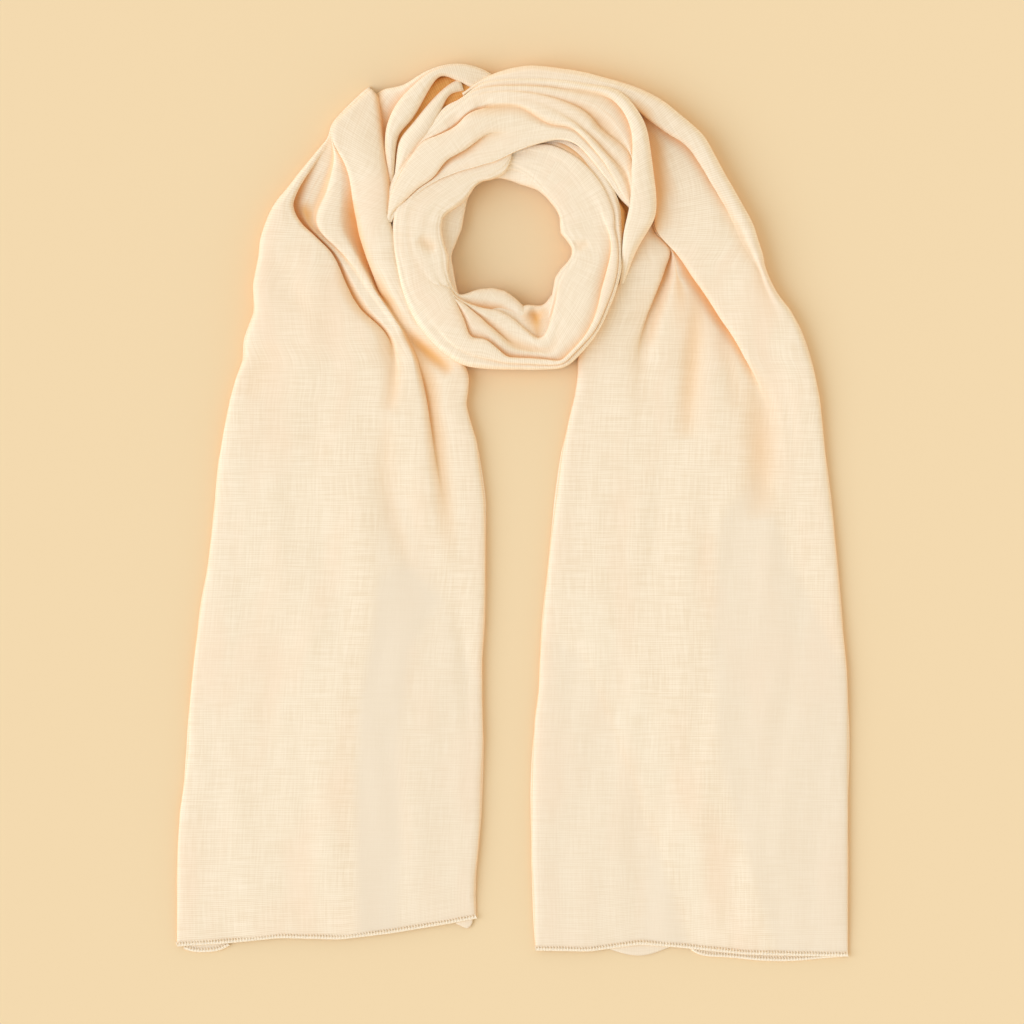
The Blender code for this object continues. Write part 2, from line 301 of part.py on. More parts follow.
def section_points(section):
    """Points (reach, height) across a strip, from its inner edge to its outer edge."""
    lines = section.lines
    foot_in, foot_out = section.heights[0], section.heights[-1]
    levels = section.heights[1:-1:2]
    dips = section.heights[2:-1:2]
    widths = [b - a for a, b in zip(lines, lines[1:])]
    folds = [
        fold_points(lines[i + 1], widths[i], widths[i + 1], dips[i], levels[i], levels[i + 1])
        for i in range(len(dips))
    ]
    rise_in = levels[0] - foot_in
    rise_out = levels[-1] - foot_out
    shoulder_in = EDGE_SHARE * min(rise_in, widths[0])
    shoulder_out = EDGE_SHARE * min(rise_out, widths[-1])
    points = [
        (lines[0] + min(EDGE_TUCK, shoulder_in), foot_in),
        (lines[0], foot_in + EDGE_MIDDLE * rise_in),
        (lines[0] + shoulder_in, foot_in + EDGE_TOP * rise_in),
    ]
    for i, level in enumerate(levels):
        start = points[-1][0] if i == 0 else folds[i - 1][-1][0]
        end = folds[i][0][0] if i < len(folds) else lines[-1] - shoulder_out
        puff = min(PUFF_MOST, PUFF_RATE * max(end - start, 0.0))
        points.append((0.5 * (start + end), level + puff))
        if i < len(folds):
            points.extend(folds[i])
    points += [
        (lines[-1] - shoulder_out, foot_out + EDGE_TOP * rise_out),
        (lines[-1], foot_out + EDGE_MIDDLE * rise_out),
        (lines[-1] - min(EDGE_TUCK, shoulder_out), foot_out),
    ]
    return points


def place(section, reach, height):
    """A point of a section, in millimetres."""
    turn = math.radians(section.turn)
    inner, outer = section.lines[0], section.lines[-1]
    across = clamp((reach - inner) / (outer - inner), 0.0, 1.0)
    fall = section.drop + section.skew * across + section.bow * math.sin(math.pi * across**BOW_SHARE)
    return (PIVOT[0] + reach * math.cos(turn), PIVOT[1] + reach * math.sin(turn) - fall, height)


def strip_net(sections):
    """Points of every section, as an array of sections by points by three."""
    return np.array([[place(s, r, z) for r, z in section_points(s)] for s in sections])


def smooth_rows(net, count):
    """Rows evenly spaced on the smooth curves through the rows of a net."""
    middles = net.mean(axis=1)
    steps = np.linalg.norm(np.diff(middles, axis=0), axis=1)
    knots = np.concatenate([[0.0], np.cumsum(steps)])
    slopes = np.gradient(net, knots, axis=0)
    places = np.linspace(0.0, knots[-1], count)
    rows = []
    for at in places:
        i = int(clamp(np.searchsorted(knots, at) - 1, 0, len(knots) - 2))
        span = knots[i + 1] - knots[i]
        t = (at - knots[i]) / span
        rows.append(
            (2 * t**3 - 3 * t**2 + 1) * net[i] + (t**3 - 2 * t**2 + t) * span * slopes[i]
            + (3 * t**2 - 2 * t**3) * net[i + 1] + (t**3 - t**2) * span * slopes[i + 1]
        )
    return np.array(rows)


def cloth_material(name, colour):
    material = bpy.data.materials.new(name)
    material.use_nodes = True
    shader = material.node_tree.nodes["Principled BSDF"]
    shader.inputs["Base Color"].default_value = colour
    shader.inputs["Roughness"].default_value = CLOTH_ROUGHNESS
    shader.inputs["Metallic"].default_value = 0.0
    return material


def add_object(name, points, faces, colour, collection):
    mesh = bpy.data.meshes.new(name)
    mesh.from_pydata([Vector(p) * MM for p in points], [], faces)
    mesh.materials.append(cloth_material(name + "_cloth", colour))
    mesh.shade_smooth()
    piece = bpy.data.objects.new(name, mesh)
    collection.objects.link(piece)
    return piece


def face_outward(piece):
    """Turn every face of a closed body outward."""
    shape = bmesh.new()
    shape.from_mesh(piece.data)
    bmesh.ops.recalc_face_normals(shape, faces=shape.faces)
    shape.to_mesh(piece.data)
    shape.free()


def grid_faces(rows, columns, closed=False):
    """Quads of a grid of points listed row by row; in a closed grid the last row joins the first."""
    return [
        (i * columns + j, i * columns + j + 1, (i + 1) % rows * columns + j + 1, (i + 1) % rows * columns + j)
        for i in range(rows if closed else rows - 1) for j in range(columns - 1)
    ]


def add_strip(name, net, collection):
    """Cloth of one stretch: an open sheet through the net, given its thickness about its middle."""
    rows, columns = net.shape[:2]
    piece = add_object(name, net.reshape(-1, 3), grid_faces(rows, columns), CREAM, collection)
    solidify = piece.modifiers.new("cloth thickness", "SOLIDIFY")
    solidify.thickness = WALL * MM
    solidify.offset = 0.0
    return piece


def cloth_above(collection):
    """Search tree of all the walls, in millimetres."""
    graph = bpy.context.evaluated_depsgraph_get()
    points = []
    faces = []
    for piece in collection.objects:
        shape = piece.evaluated_get(graph).to_mesh()
        start = len(points)
        points.extend(vertex.co / MM for vertex in shape.vertices)
        faces.extend([start + index for index in face.vertices] for face in shape.polygons)
        piece.evaluated_get(graph).to_mesh_clear()
    return BVHTree.FromPolygons(points, faces)


def ceiling(tree, base, i, j, closed):
    """Lowest height of the cloth over a point of the grid and its surroundings."""
    rows, columns = base.shape[:2]
    lowest = math.inf
    for along in np.linspace(-PROBE_REACH, PROBE_REACH, PROBES_ALONG):
        row = (i + along) % rows if closed else clamp(i + along, 0, rows - 1)
        low_row = int(row)
        high_row = (low_row + 1) % rows if closed else min(low_row + 1, rows - 1)
        line = base[low_row] + (row - low_row) * (base[high_row] - base[low_row])
        for across in np.linspace(-PROBE_REACH, PROBE_REACH, PROBES_ACROSS):
            column = clamp(j + across, 0, columns - 1)
            low = min(int(column), columns - 2)
            spot = line[low] + (column - low) * (line[low + 1] - line[low])
            hit = tree.ray_cast(Vector((spot[0], spot[1], -1.0)), Vector((0.0, 0.0, 1.0)))[0]
            lowest = min(lowest, hit.z if hit else OPEN_POCKET + GAP)
    return lowest


def add_layers(name, base, tree, closed, collection):
    """One rounded solid of hidden layers: flat on the floor below, close under the cloth above."""
    rows, columns = base.shape[:2]
    top = base.copy()
    for i in range(rows):
        for j in range(columns):
            top[i, j, 2] = max(ceiling(tree, base, i, j, closed) - GAP, LAYER_LEAST)
    count = rows * columns
    points = list(top.reshape(-1, 3))
    points.extend(base[:, 0])
    points.extend(base[:, -1])
    first, last = count, count + rows
    faces = grid_faces(rows, columns, closed)
    for i in range(rows if closed else rows - 1):
        k = (i + 1) % rows
        faces.append((i * columns, k * columns, first + k, first + i))
        faces.append((k * columns + columns - 1, i * columns + columns - 1, last + i, last + k))
        faces.append((first + i, first + k, last + k, last + i))
    if not closed:
        far = count - columns
        faces.append((first, last, *reversed(range(columns))))
        faces.append((*range(far, count), last + rows - 1, first + rows - 1))
    face_outward(add_object(name, points, faces, LAYER_CREAM, collection))


def tail_base(name):
    """Grid on the floor for the hidden layers of a tail."""
    sections = STRIPS[name][:-LAYER_ENDS[name]]
    lines = []
    for index, section in enumerate(sections):
        if index == 0:
            section = section._replace(drop=section.drop - LAYER_SETBACK)
        inner, outer = section.lines[0] + LAYER_INSET, section.lines[-1] - LAYER_INSET
        reaches = np.linspace(inner, outer, LAYER_COLUMNS)
        lines.append([place(section, reach, 0.0) for reach in reaches])
    return smooth_rows(np.array(lines), LAYER_ROWS[name])


def heap_base():
    """Ring-shaped grid on the floor for the hidden layers under the loop."""
    turns, inner, outer = np.array(HEAP).T
    rows = []
    for turn in np.arange(HEAP_TURNS) * 360.0 / HEAP_TURNS:
        low = np.interp(turn, turns, inner, period=360.0)
        high = np.interp(turn, turns, outer, period=360.0)
        angle = math.radians(turn)
        rows.append([
            (PIVOT[0] + reach * math.cos(angle), PIVOT[1] + reach * math.sin(angle), 0.0)
            for reach in np.linspace(low, high, HEAP_RINGS)
        ])
    return np.array(rows)


def add_hem(name, tail, start, end, beyond, level, thickness, runs, collection):
    """Flat rolled hem along a tail's end, from one share of its width to another."""
    section = STRIPS[tail][0]
    inner, outer = section.lines[0], section.lines[-1]
    path = []
    for share in np.linspace(start, end, runs):
        x, y, _ = place(section, inner + share * (outer - inner), 0.0)
        path.append(Vector((x, y - beyond, level)))
    half, rise, round_off = HEM_WIDTH / 2, thickness / 2, thickness / 3
    outline = [(-half, 0.0), (-half + round_off, rise), (half - round_off, rise),
               (half, 0.0), (half - round_off, -rise), (-half + round_off, -rise)]
    points = []
    for i, spot in enumerate(path):
        run = (path[min(i + 1, runs - 1)] - path[max(i - 1, 0)]).normalized()
        side = Vector((-run.y, run.x, 0.0))
        points.extend(spot + side * out + Vector((0.0, 0.0, up)) for out, up in outline)
    sides = len(outline)
    faces = [
        (i * sides + j, i * sides + (j + 1) % sides, (i + 1) * sides + (j + 1) % sides, (i + 1) * sides + j)
        for i in range(runs - 1) for j in range(sides)
    ]
    faces.append(tuple(range(sides)))
    faces.append(tuple(reversed(range((runs - 1) * sides, runs * sides))))
    face_outward(add_object(name, points, faces, HEM_CREAM, collection))


def clear_scene():
    for scene_object in list(bpy.data.objects):
        bpy.data.objects.remove(scene_object, do_unlink=True)


def main():
    clear_scene()
    collection = bpy.data.collections.new(COLLECTION_NAME)
    bpy.context.scene.collection.children.link(collection)
    for name, sections in STRIPS.items():
        add_strip(name, smooth_rows(strip_net(sections), STATIONS[name]), collection)
    tree = cloth_above(collection)
    for name in LAYER_ROWS:
        add_layers(name + "_layers", tail_base(name), tree, False, collection)
    add_layers("loop_layers", heap_base(), tree, True, collection)
    for tail in ("left_tail", "right_tail"):
        add_hem(tail + "_hem", tail, 0.0, 1.0, HEM_SPACING + HEM_WIDTH / 2, HEM_LEVEL, HEM_THICKNESS,
                HEM_RUNS, collection)
    for name, (tail, start, end, far) in UNDER_HEMS.items():
        add_hem(name, tail, start, end, far, UNDER_HEM_LEVEL, UNDER_HEM_THICKNESS, UNDER_HEM_RUNS, collection)


if __name__ == "__main__":
    main()
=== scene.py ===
import math
from collections import namedtuple

import bpy
import numpy as np
from bpy.props import FloatProperty, FloatVectorProperty, IntProperty, PointerProperty
from mathutils import Matrix


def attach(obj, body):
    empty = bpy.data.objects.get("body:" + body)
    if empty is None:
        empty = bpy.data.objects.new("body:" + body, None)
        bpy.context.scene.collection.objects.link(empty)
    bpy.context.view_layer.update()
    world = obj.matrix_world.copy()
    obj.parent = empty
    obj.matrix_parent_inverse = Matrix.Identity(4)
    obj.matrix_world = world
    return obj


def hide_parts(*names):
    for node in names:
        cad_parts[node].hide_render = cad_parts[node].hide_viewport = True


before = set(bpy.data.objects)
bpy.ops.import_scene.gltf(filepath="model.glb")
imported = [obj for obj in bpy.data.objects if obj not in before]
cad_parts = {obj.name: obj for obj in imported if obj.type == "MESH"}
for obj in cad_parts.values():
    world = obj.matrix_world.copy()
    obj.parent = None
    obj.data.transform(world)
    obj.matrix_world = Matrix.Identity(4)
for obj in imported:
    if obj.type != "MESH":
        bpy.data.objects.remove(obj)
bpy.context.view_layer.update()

bl_info = {
    "name": "Long voile scarf",
    "version": (1, 0, 0),
    "blender": (4, 5, 0),
    "location": "3D View > Sidebar > Long Scarf",
    "description": "Dresses a long voile scarf that is wound once and laid flat",
    "category": "Object",
}

MM = 0.001

# The folds are drawn on a square grid laid over the scarf: first number to the right, second down.
SQUARE = 0.72                     # millimetres
PIVOT_SQUARE = (513.0, 240.0)     # middle of the loop's opening, on the grid
PIVOT = (0.48, 196.46)            # the same place in the frame, millimetres
VIEW_SQUARE = (512.0, 512.0)      # middle of the view
VIEW_SQUARES = 1024
TURN_LENGTH = 2.2                 # millimetres of course to a degree about the pivot, on a shoulder
LOOP_LENGTH = 1.15                # and on the loop

# ------------------------------------------------------------------------------------------------ drawn folds
# A strip runs along a course: down a leg beside the pivot, about the pivot, or from one to the other.
# side: -1 left leg, +1 right leg, 0 a loop
# start, sense: turn where the course about the pivot begins, and its direction
# first, last: course of the strip's two ends, millimetres
# lines: inner edge, folds, outer edge, on the grid
# levels: heights of the panels between the lines, as (course, height) pairs, millimetres
# valleys: at each fold, how wide the covered panel sinks towards it, how far the fold may tuck under the
# panel on top, and how deep it sinks, as (course, depth) pairs
# feet: heights of the inner and the outer edge
# spacing: between the points of the modelled cloth, along and across, millimetres
Strip = namedtuple("Strip", "side start sense first last lines levels valleys feet spacing")
# A crease is drawn on the grid: half width and depth in millimetres; a ridge has a negative depth.
Crease = namedtuple("Crease", "points width depth")
# Cloth ready to be modelled, millimetres: rows of points, each row's course, and for each point its place
# across the flat cloth, the shade painted into its folds and how many layers more or fewer lie below.
Cloth = namedtuple("Cloth", "points courses across shade layers")

LEFT_TAIL = Strip(
    side=-1, start=180, sense=-1, first=-500, last=103, spacing=(2.1, 1.9),
    lines=(
        # inner edge
        ((475, 935), (474, 905), (475, 880), (478, 850), (480, 820), (481, 780), (483, 740), (482, 700),
         (482, 660), (484, 620), (485, 580), (485, 540), (484, 500), (480, 470), (476, 440), (470, 420),
         (466, 405), (468, 390), (469, 380), (468, 372), (462, 360), (450, 348), (436, 334), (424, 318),
         (414, 302), (407, 287), (400, 266), (397, 250), (396, 238), (392, 226), (389, 213), (391, 200),
         (391, 188), (389, 170), (386, 150), (383, 130), (381, 110), (379, 98), (377, 91)),
        # left lip of the shoulder, then right lip of the crest
        ((462, 935), (462, 800), (462, 700), (459, 640), (455, 600), (450, 560), (446, 520), (443, 500),
         (439, 475), (435, 450), (431, 425), (427, 400), (423, 380), (418, 360), (411, 344), (404, 330),
         (396, 317), (388, 304), (379, 292), (374, 278), (367, 258), (361, 240), (357, 220), (354, 205),
         (352, 190), (350, 178), (346, 165), (342, 157), (335, 147), (332, 138), (332, 130), (337, 122),
         (347, 112), (357, 103), (366, 94), (373, 89)),
        # left lip of the crest by the hollow, then down the middle of the crest
        ((420, 935), (420, 700), (416, 540), (412, 460), (409, 400), (407, 360), (404, 345), (397, 330),
         (389, 318), (380, 306), (370, 292), (361, 278), (352, 265), (341, 252), (329, 241), (319, 231),
         (315, 220), (318, 208), (325, 195), (330, 178), (334, 162), (334, 150), (331, 139), (331, 130),
         (336, 121.5), (346, 111.5), (356, 102.5), (365.5, 93.5), (372.5, 88.5)),
        # right lip of the outer panel
        ((382, 935), (382, 700), (384, 540), (388, 460), (392, 400), (394, 360), (391, 341), (383, 329),
         (374, 321), (363, 312), (354, 299), (346, 283), (339.5, 268), (334, 257), (329, 250), (314, 235),
         (304, 227), (297, 218), (292, 205), (300, 186), (314, 166), (324, 151), (330.5, 139), (330.5, 130),
         (335, 121), (345, 111), (355, 102), (365, 93), (372, 88)),
        # outer edge
        ((177, 946), (177, 915), (177, 880), (178, 840), (180, 810), (185, 780), (188, 750), (190, 700),
         (194, 660), (199, 620), (203, 595), (207, 575), (211, 540), (216, 500), (219, 460), (224, 430),
         (230, 400), (236, 378), (244, 360), (245, 340), (250, 325), (255, 312), (254, 298), (253, 285),
         (256, 270), (259, 255), (260, 240), (265, 225), (270, 212), (277, 200), (288, 188), (300, 172),
         (310, 160), (318, 150), (325, 142), (329.5, 136), (329.5, 129), (334, 120.5), (344, 110),
         (354, 101), (364, 92), (371, 87)),
    ),
    levels=(
        ((-500, 3), (-470, 6), (-300, 7), (-200, 8), (-110, 10), (-65, 15), (-20, 20), (0, 22), (60, 24),
         (103, 13)),
        ((-500, 3), (-470, 6), (-300, 7.6), (-200, 9), (-110, 12.6), (-85, 14), (-65, 15.8), (-30, 17),
         (0, 17.5), (45, 17), (70, 13), (80, 9), (103, 5)),
        ((-500, 3), (-470, 6), (-300, 7.6), (-200, 9), (-110, 12.4), (-85, 13.8), (-65, 15), (-30, 15.2),
         (-8, 14), (4, 9), (14, 7.5), (26, 8), (50, 11), (75, 8), (103, 4)),
        ((-500, 3), (-470, 6), (-300, 7.6), (-200, 8.9), (-110, 12.2), (-85, 13.9), (-72, 16.2),
         (-60, 17.2), (-20, 17.6), (0, 17), (25, 14.5), (60, 10.5), (75, 6), (103, 3)),
    ),
    valleys=(
        (14.0, 4.5, ((-500, 0), (-230, 0), (-187, 1.4), (-150, 2.6), (-110, 3.4), (-80, 3.2), (-50, 3),
                     (-30, 7.5), (-15, 9), (16, 9), (26, 5), (36, 1), (60, 0.5), (103, 0))),
        (8.0, 0.6, ((-500, 0), (103, 0))),
        (12.0, 4.5, ((-500, 0), (-105, 0), (-88, 1.5), (-70, 3.6), (-30, 4.2), (0, 5), (22, 5), (34, 2),
                     (45, 0))),
    ),
    feet=(((-500, 0.6), (-100, 0.8), (-60, 4), (0, 8), (60, 8), (103, 3)), ((-500, 0.6), (103, 0.6))),
)

RIGHT_TAIL = Strip(
    side=1, start=0, sense=1, first=-511, last=240, spacing=(2.3, 2.0),
    lines=(
        # inner edge
        ((536, 952), (535, 930), (534, 900), (532, 860), (532, 800), (533, 760), (535, 720), (539, 690),
         (540, 660), (543, 620), (547, 580), (550, 550), (555, 510), (559, 480), (562, 455), (569, 420),
         (575, 395), (578, 375), (578, 360), (580, 345), (590, 330), (602, 312), (612, 292), (622, 272),
         (631, 252), (640, 238), (644, 225), (644, 200), (642, 170), (636, 140), (629, 118), (623, 107),
         (614, 103), (604, 101), (590, 99.5), (563, 93.5), (530, 92), (510, 92.5), (495, 93.5), (480, 96),
         (467, 104), (463, 109)),
        # valley between the two inner panels
        ((626, 952), (628, 760), (630, 640), (632, 540), (634, 460), (636, 400), (638, 370), (640, 345),
         (643, 330), (648, 312), (655, 295), (661, 280), (665, 268), (669, 258), (671, 250), (664, 242),
         (655, 234), (651, 222), (648, 200), (646, 170), (640, 140), (633, 115), (624, 104), (614, 100),
         (604, 98), (590, 96.5), (563, 90.5), (530, 89), (510, 89.5), (495, 90.5), (480, 93), (468, 101),
         (463, 106)),
        # lip of the shoulder
        ((757, 952), (765, 760), (775, 650), (780, 560), (781, 500), (779, 450), (775, 425), (768, 405),
         (760, 390), (753, 375), (746, 360), (738, 345), (730, 332), (720, 318), (712, 305), (702, 290),
         (693, 278), (684, 264), (676, 253), (668, 245), (660, 237), (655, 228), (652, 205), (650, 175),
         (646, 140), (640, 121), (627, 103), (615, 97), (605, 95), (590, 93.5), (563, 87.5), (530, 86),
         (510, 86.5), (495, 87.5), (480, 90), (470, 98), (463, 103)),
        # lip of the outer roll
        ((803, 952), (806, 800), (808, 700), (806, 600), (803, 520), (798, 450), (792, 400), (784, 360),
         (776, 330), (768, 300), (762, 285), (758, 270), (752, 260), (745, 247), (738, 232), (730, 218),
         (720, 200), (710, 182), (700, 165), (690, 150), (680, 141), (672, 137), (663, 131), (652, 123),
         (643, 116), (635, 109), (625, 99), (615, 93.5), (605, 91), (590, 90), (575, 86.5), (563, 84),
         (550, 83), (530, 82.5), (510, 83), (495, 84), (480, 86), (472, 90), (463, 97)),
        # outer edge
        ((848, 958), (848, 930), (848, 860), (848, 740), (848, 700), (847, 670), (844, 640), (840, 600),
         (837, 560), (833, 520), (828, 480), (824, 440), (820, 400), (815, 375), (808, 352), (800, 330),
         (790, 310), (778, 295), (770, 280), (765, 268), (763, 255), (758, 240), (752, 222), (744, 208),
         (735, 192), (725, 175), (717, 160), (708, 143), (703, 135), (692, 125), (680, 115), (668, 105),
         (655, 97), (640, 90), (620, 83), (600, 77), (580, 72), (560, 69), (545, 67), (530, 66), (515, 68),
         (500, 72), (490, 76), (478, 82), (468, 90), (461, 94)),
    ),
    levels=(
        ((-511, 3), (-480, 5.5), (-300, 6.5), (-150, 8), (-80, 10), (-40, 13), (0, 13), (20, 9), (240, 7)),
        ((-511, 3), (-480, 5.5), (-300, 6.5), (-150, 7.6), (-80, 8.5), (-30, 9.5), (0, 10), (20, 10),
         (110, 10), (240, 8)),
        ((-511, 3), (-480, 5.6), (-300, 6.8), (-200, 7.5), (-150, 8), (-115, 9), (-95, 10.6), (-65, 13.6),
         (-20, 16), (0, 16.5), (60, 14), (100, 11), (240, 9)),
        ((-511, 3), (-480, 5.6), (-300, 6.8), (-200, 7.6), (-150, 8.4), (-100, 11), (-60, 13.6), (-30, 15),
         (0, 17), (60, 19), (110, 21), (200, 22), (240, 18)),
    ),
    valleys=(
        (9.0, 4.5, ((-511, 0), (-130, 0), (-90, 0.4), (-65, 1), (-40, 2), (-22, 4.5), (-10, 5), (10, 2),
                    (30, 0), (240, 0))),
        (9.0, 4.5, ((-511, 0), (-200, 0), (-140, 0.3), (-110, 0.8), (-80, 2.6), (-50, 4), (-20, 3.6),
                    (0, 1), (20, 0), (240, 0))),
        (8.0, 4.5, ((-511, 0), (-60, 0), (-30, 1), (0, 1.3), (60, 1.8), (90, 1.4), (130, 1.5), (240, 1.5))),
    ),
    feet=(((-511, 0.6), (-90, 0.6), (-60, 3), (0, 6), (60, 6), (110, 5), (240, 5)), ((-511, 0.6),
                                                                                     (240, 0.6))),
)

INNER_LOOP = Strip(
    side=0, start=91, sense=1, first=0, last=431, spacing=(1.35, 1.3),
    lines=(
        # edge of the opening
        ((512, 152), (511.5, 158), (510.5, 163), (508.5, 168), (505, 173), (500, 177), (490, 180),
         (480, 182), (475, 186), (471, 193), (465, 201), (456, 208), (443, 217), (441, 227), (443, 240),
         (446, 250), (449, 258), (448, 268), (449, 276), (453, 288), (458, 295), (463, 296), (470, 292),
         (480, 289), (493, 288), (505, 291), (513, 296.5), (519, 302), (524, 306.5), (528, 311),
         (530.5, 318), (533.5, 327), (538.5, 333), (542.5, 330), (545, 321), (548, 311), (551, 301),
         (553, 290), (555, 278), (561, 269), (568, 262), (572, 255), (572, 248), (567, 241), (561, 234),
         (560, 226), (560, 218), (557, 211), (551, 203), (543, 194), (535, 186), (528, 179), (520, 174),
         (511, 171), (501, 173), (492, 177)),
        # lip of the third layer
        ((512, 150), (511, 155), (509.5, 160), (507, 165), (502, 170), (490, 176.5), (472, 184), (460, 197),
         (440, 212), (437, 227), (438, 240), (442, 252), (443, 268), (446, 278), (453, 294), (462, 301),
         (475, 306), (485, 309), (497, 310), (505, 314), (512, 318), (520, 325), (527, 331), (533, 336.5),
         (539, 340), (545, 336), (550, 323), (553, 311), (556, 300), (557, 291), (560, 280), (566, 271),
         (574, 262), (578, 255), (578, 246), (573, 238), (568, 230), (566, 220), (561, 208), (547, 192),
         (530, 174), (512, 164)),
        # lip of the second layer
        ((512, 148.5), (510.5, 152.5), (508.5, 157), (505, 162), (498, 167), (485, 172), (460, 184),
         (440, 200), (425, 220), (423, 240), (430, 262), (440, 285), (453, 298), (463, 303), (470, 309),
         (480, 317), (490, 326), (500, 334), (507, 340), (515, 345), (525, 348), (540, 350), (549, 352),
         (554, 346), (558, 330), (564, 310), (570, 292), (578, 275), (584, 260), (586, 245), (584, 230),
         (578, 214), (566, 195), (549, 176), (530, 164), (512, 161), (500, 163), (490, 167)),
        # lip of the first layer, then of the hemmed layers on the right
        ((512, 147), (510, 150.5), (507.5, 154.5), (503, 159), (495, 163), (480, 167), (450, 177),
         (425, 192), (410, 215), (409, 240), (416, 265), (432, 285), (447, 287), (452, 293), (457, 304),
         (462, 314), (466, 324), (468, 333), (471, 338.5), (482, 338.5), (488, 341), (500, 351),
         (507, 358.5), (512, 358), (530, 358.5), (548, 360), (557, 362), (561, 362.5), (570, 352.5),
         (580, 342.5), (588, 331.5), (592, 323), (596, 313), (599, 302), (601, 291), (604, 281), (607, 270),
         (610, 258), (611, 248), (610, 240), (608, 232), (604, 222), (598, 207), (585, 187), (568, 167),
         (548, 153), (530, 151), (512, 155), (500, 158), (489, 162)),
        # stitched line on the right
        ((512, 145.5), (509, 148), (506, 151), (500, 155), (490, 159), (480, 161.5), (450, 171), (420, 185),
         (402, 212), (400, 240), (405, 270), (415, 298), (434, 324), (452, 345), (470, 355), (490, 360),
         (510, 363.5), (530, 364), (550, 365), (563, 364.5), (574, 353), (583, 344), (594, 331.5),
         (601, 318), (606, 305), (612, 290), (616.5, 271), (617.5, 255), (616.5, 240), (614, 229),
         (613.5, 213), (608.5, 199), (595, 176), (575, 156.5), (550, 145), (530, 146), (512, 151),
         (500, 154), (488, 158)),
        # outer edge
        ((512, 144), (508, 146), (504, 148), (495, 152), (480, 156), (450, 165), (415, 180), (397, 200),
         (393.5, 222), (393, 240), (394, 250), (397, 265), (400, 280), (405, 297), (411, 312), (420, 328),
         (430, 340), (442, 352), (455, 361), (466, 366), (480, 368), (500, 369), (520, 369), (545, 369),
         (563, 368), (570, 364), (578, 356), (588, 345), (597, 333), (603, 322), (608, 310), (614, 296),
         (618, 283), (621, 270), (621.5, 255), (622, 240), (621.5, 226), (620, 208.5), (615, 193),
         (608, 180), (600, 166), (586, 153), (571, 143.5), (556, 139), (535, 141), (512, 147), (500, 150),
         (487, 154)),
    ),
    levels=(
        ((0, 22), (60, 22.2), (85, 22.2), (110, 22.2), (135, 22), (150, 21), (162, 18), (185, 15.5),
         (215, 15), (228, 12), (242, 19), (262, 22.8), (300, 22.9), (340, 22.6), (410, 18), (431, 14)),
        ((0, 23), (60, 22.8), (85, 22.9), (110, 22.9), (135, 22.7), (150, 22.5), (165, 20), (200, 18.5),
         (222, 20.5), (240, 23), (262, 23.5), (300, 23.4), (340, 23), (410, 19), (431, 15)),
        ((0, 23.5), (85, 23.5), (140, 23.4), (155, 23.3), (170, 22.3), (195, 21.5), (212, 19), (228, 21),
         (240, 23), (262, 24), (290, 23.2), (340, 23), (410, 19.5), (431, 15)),
        ((0, 23.5), (60, 23.5), (120, 23.5), (150, 24), (170, 24.8), (200, 24.6), (225, 24.2), (240, 25.5),
         (262, 26.5), (290, 27), (312, 25), (330, 24), (410, 20), (431, 15)),
        ((0, 23), (60, 22.8), (100, 22.8), (150, 23.3), (185, 23), (200, 22), (225, 21), (240, 22.5),
         (262, 24), (290, 25), (312, 23.5), (330, 22.5), (410, 17), (431, 13)),
    ),
    valleys=(
        (8.0, 4.5, ((0, 0), (60, 0), (150, 0), (170, 2.6), (200, 3), (222, 2.4), (240, 0.5), (262, 0),
                    (431, 0))),
        (8.0, 4.5, ((0, 0), (152, 0), (170, 2.8), (215, 2.4), (232, 0), (431, 0))),
        (8.0, 4.5, ((0, 0), (150, 0.3), (165, 2.8), (215, 2), (240, 1.2), (262, 1.2), (290, 1.6), (305, 1),
                    (314, 0), (431, 0))),
        (4.0, 3.0, ((0, 0), (200, 0), (215, 0.4), (240, 0.8), (300, 0.8), (330, 0.3), (431, 0))),
    ),
    feet=(
        ((0, 4), (60, 3), (150, 3), (200, 5), (260, 2), (431, 3)),
        ((0, 14), (60, 14), (88, 12), (95, 8), (150, 5), (175, 2), (262, 2), (290, 4), (325, 8),
         (345, 18.5), (415, 18.5), (431, 12)),
    ),
)

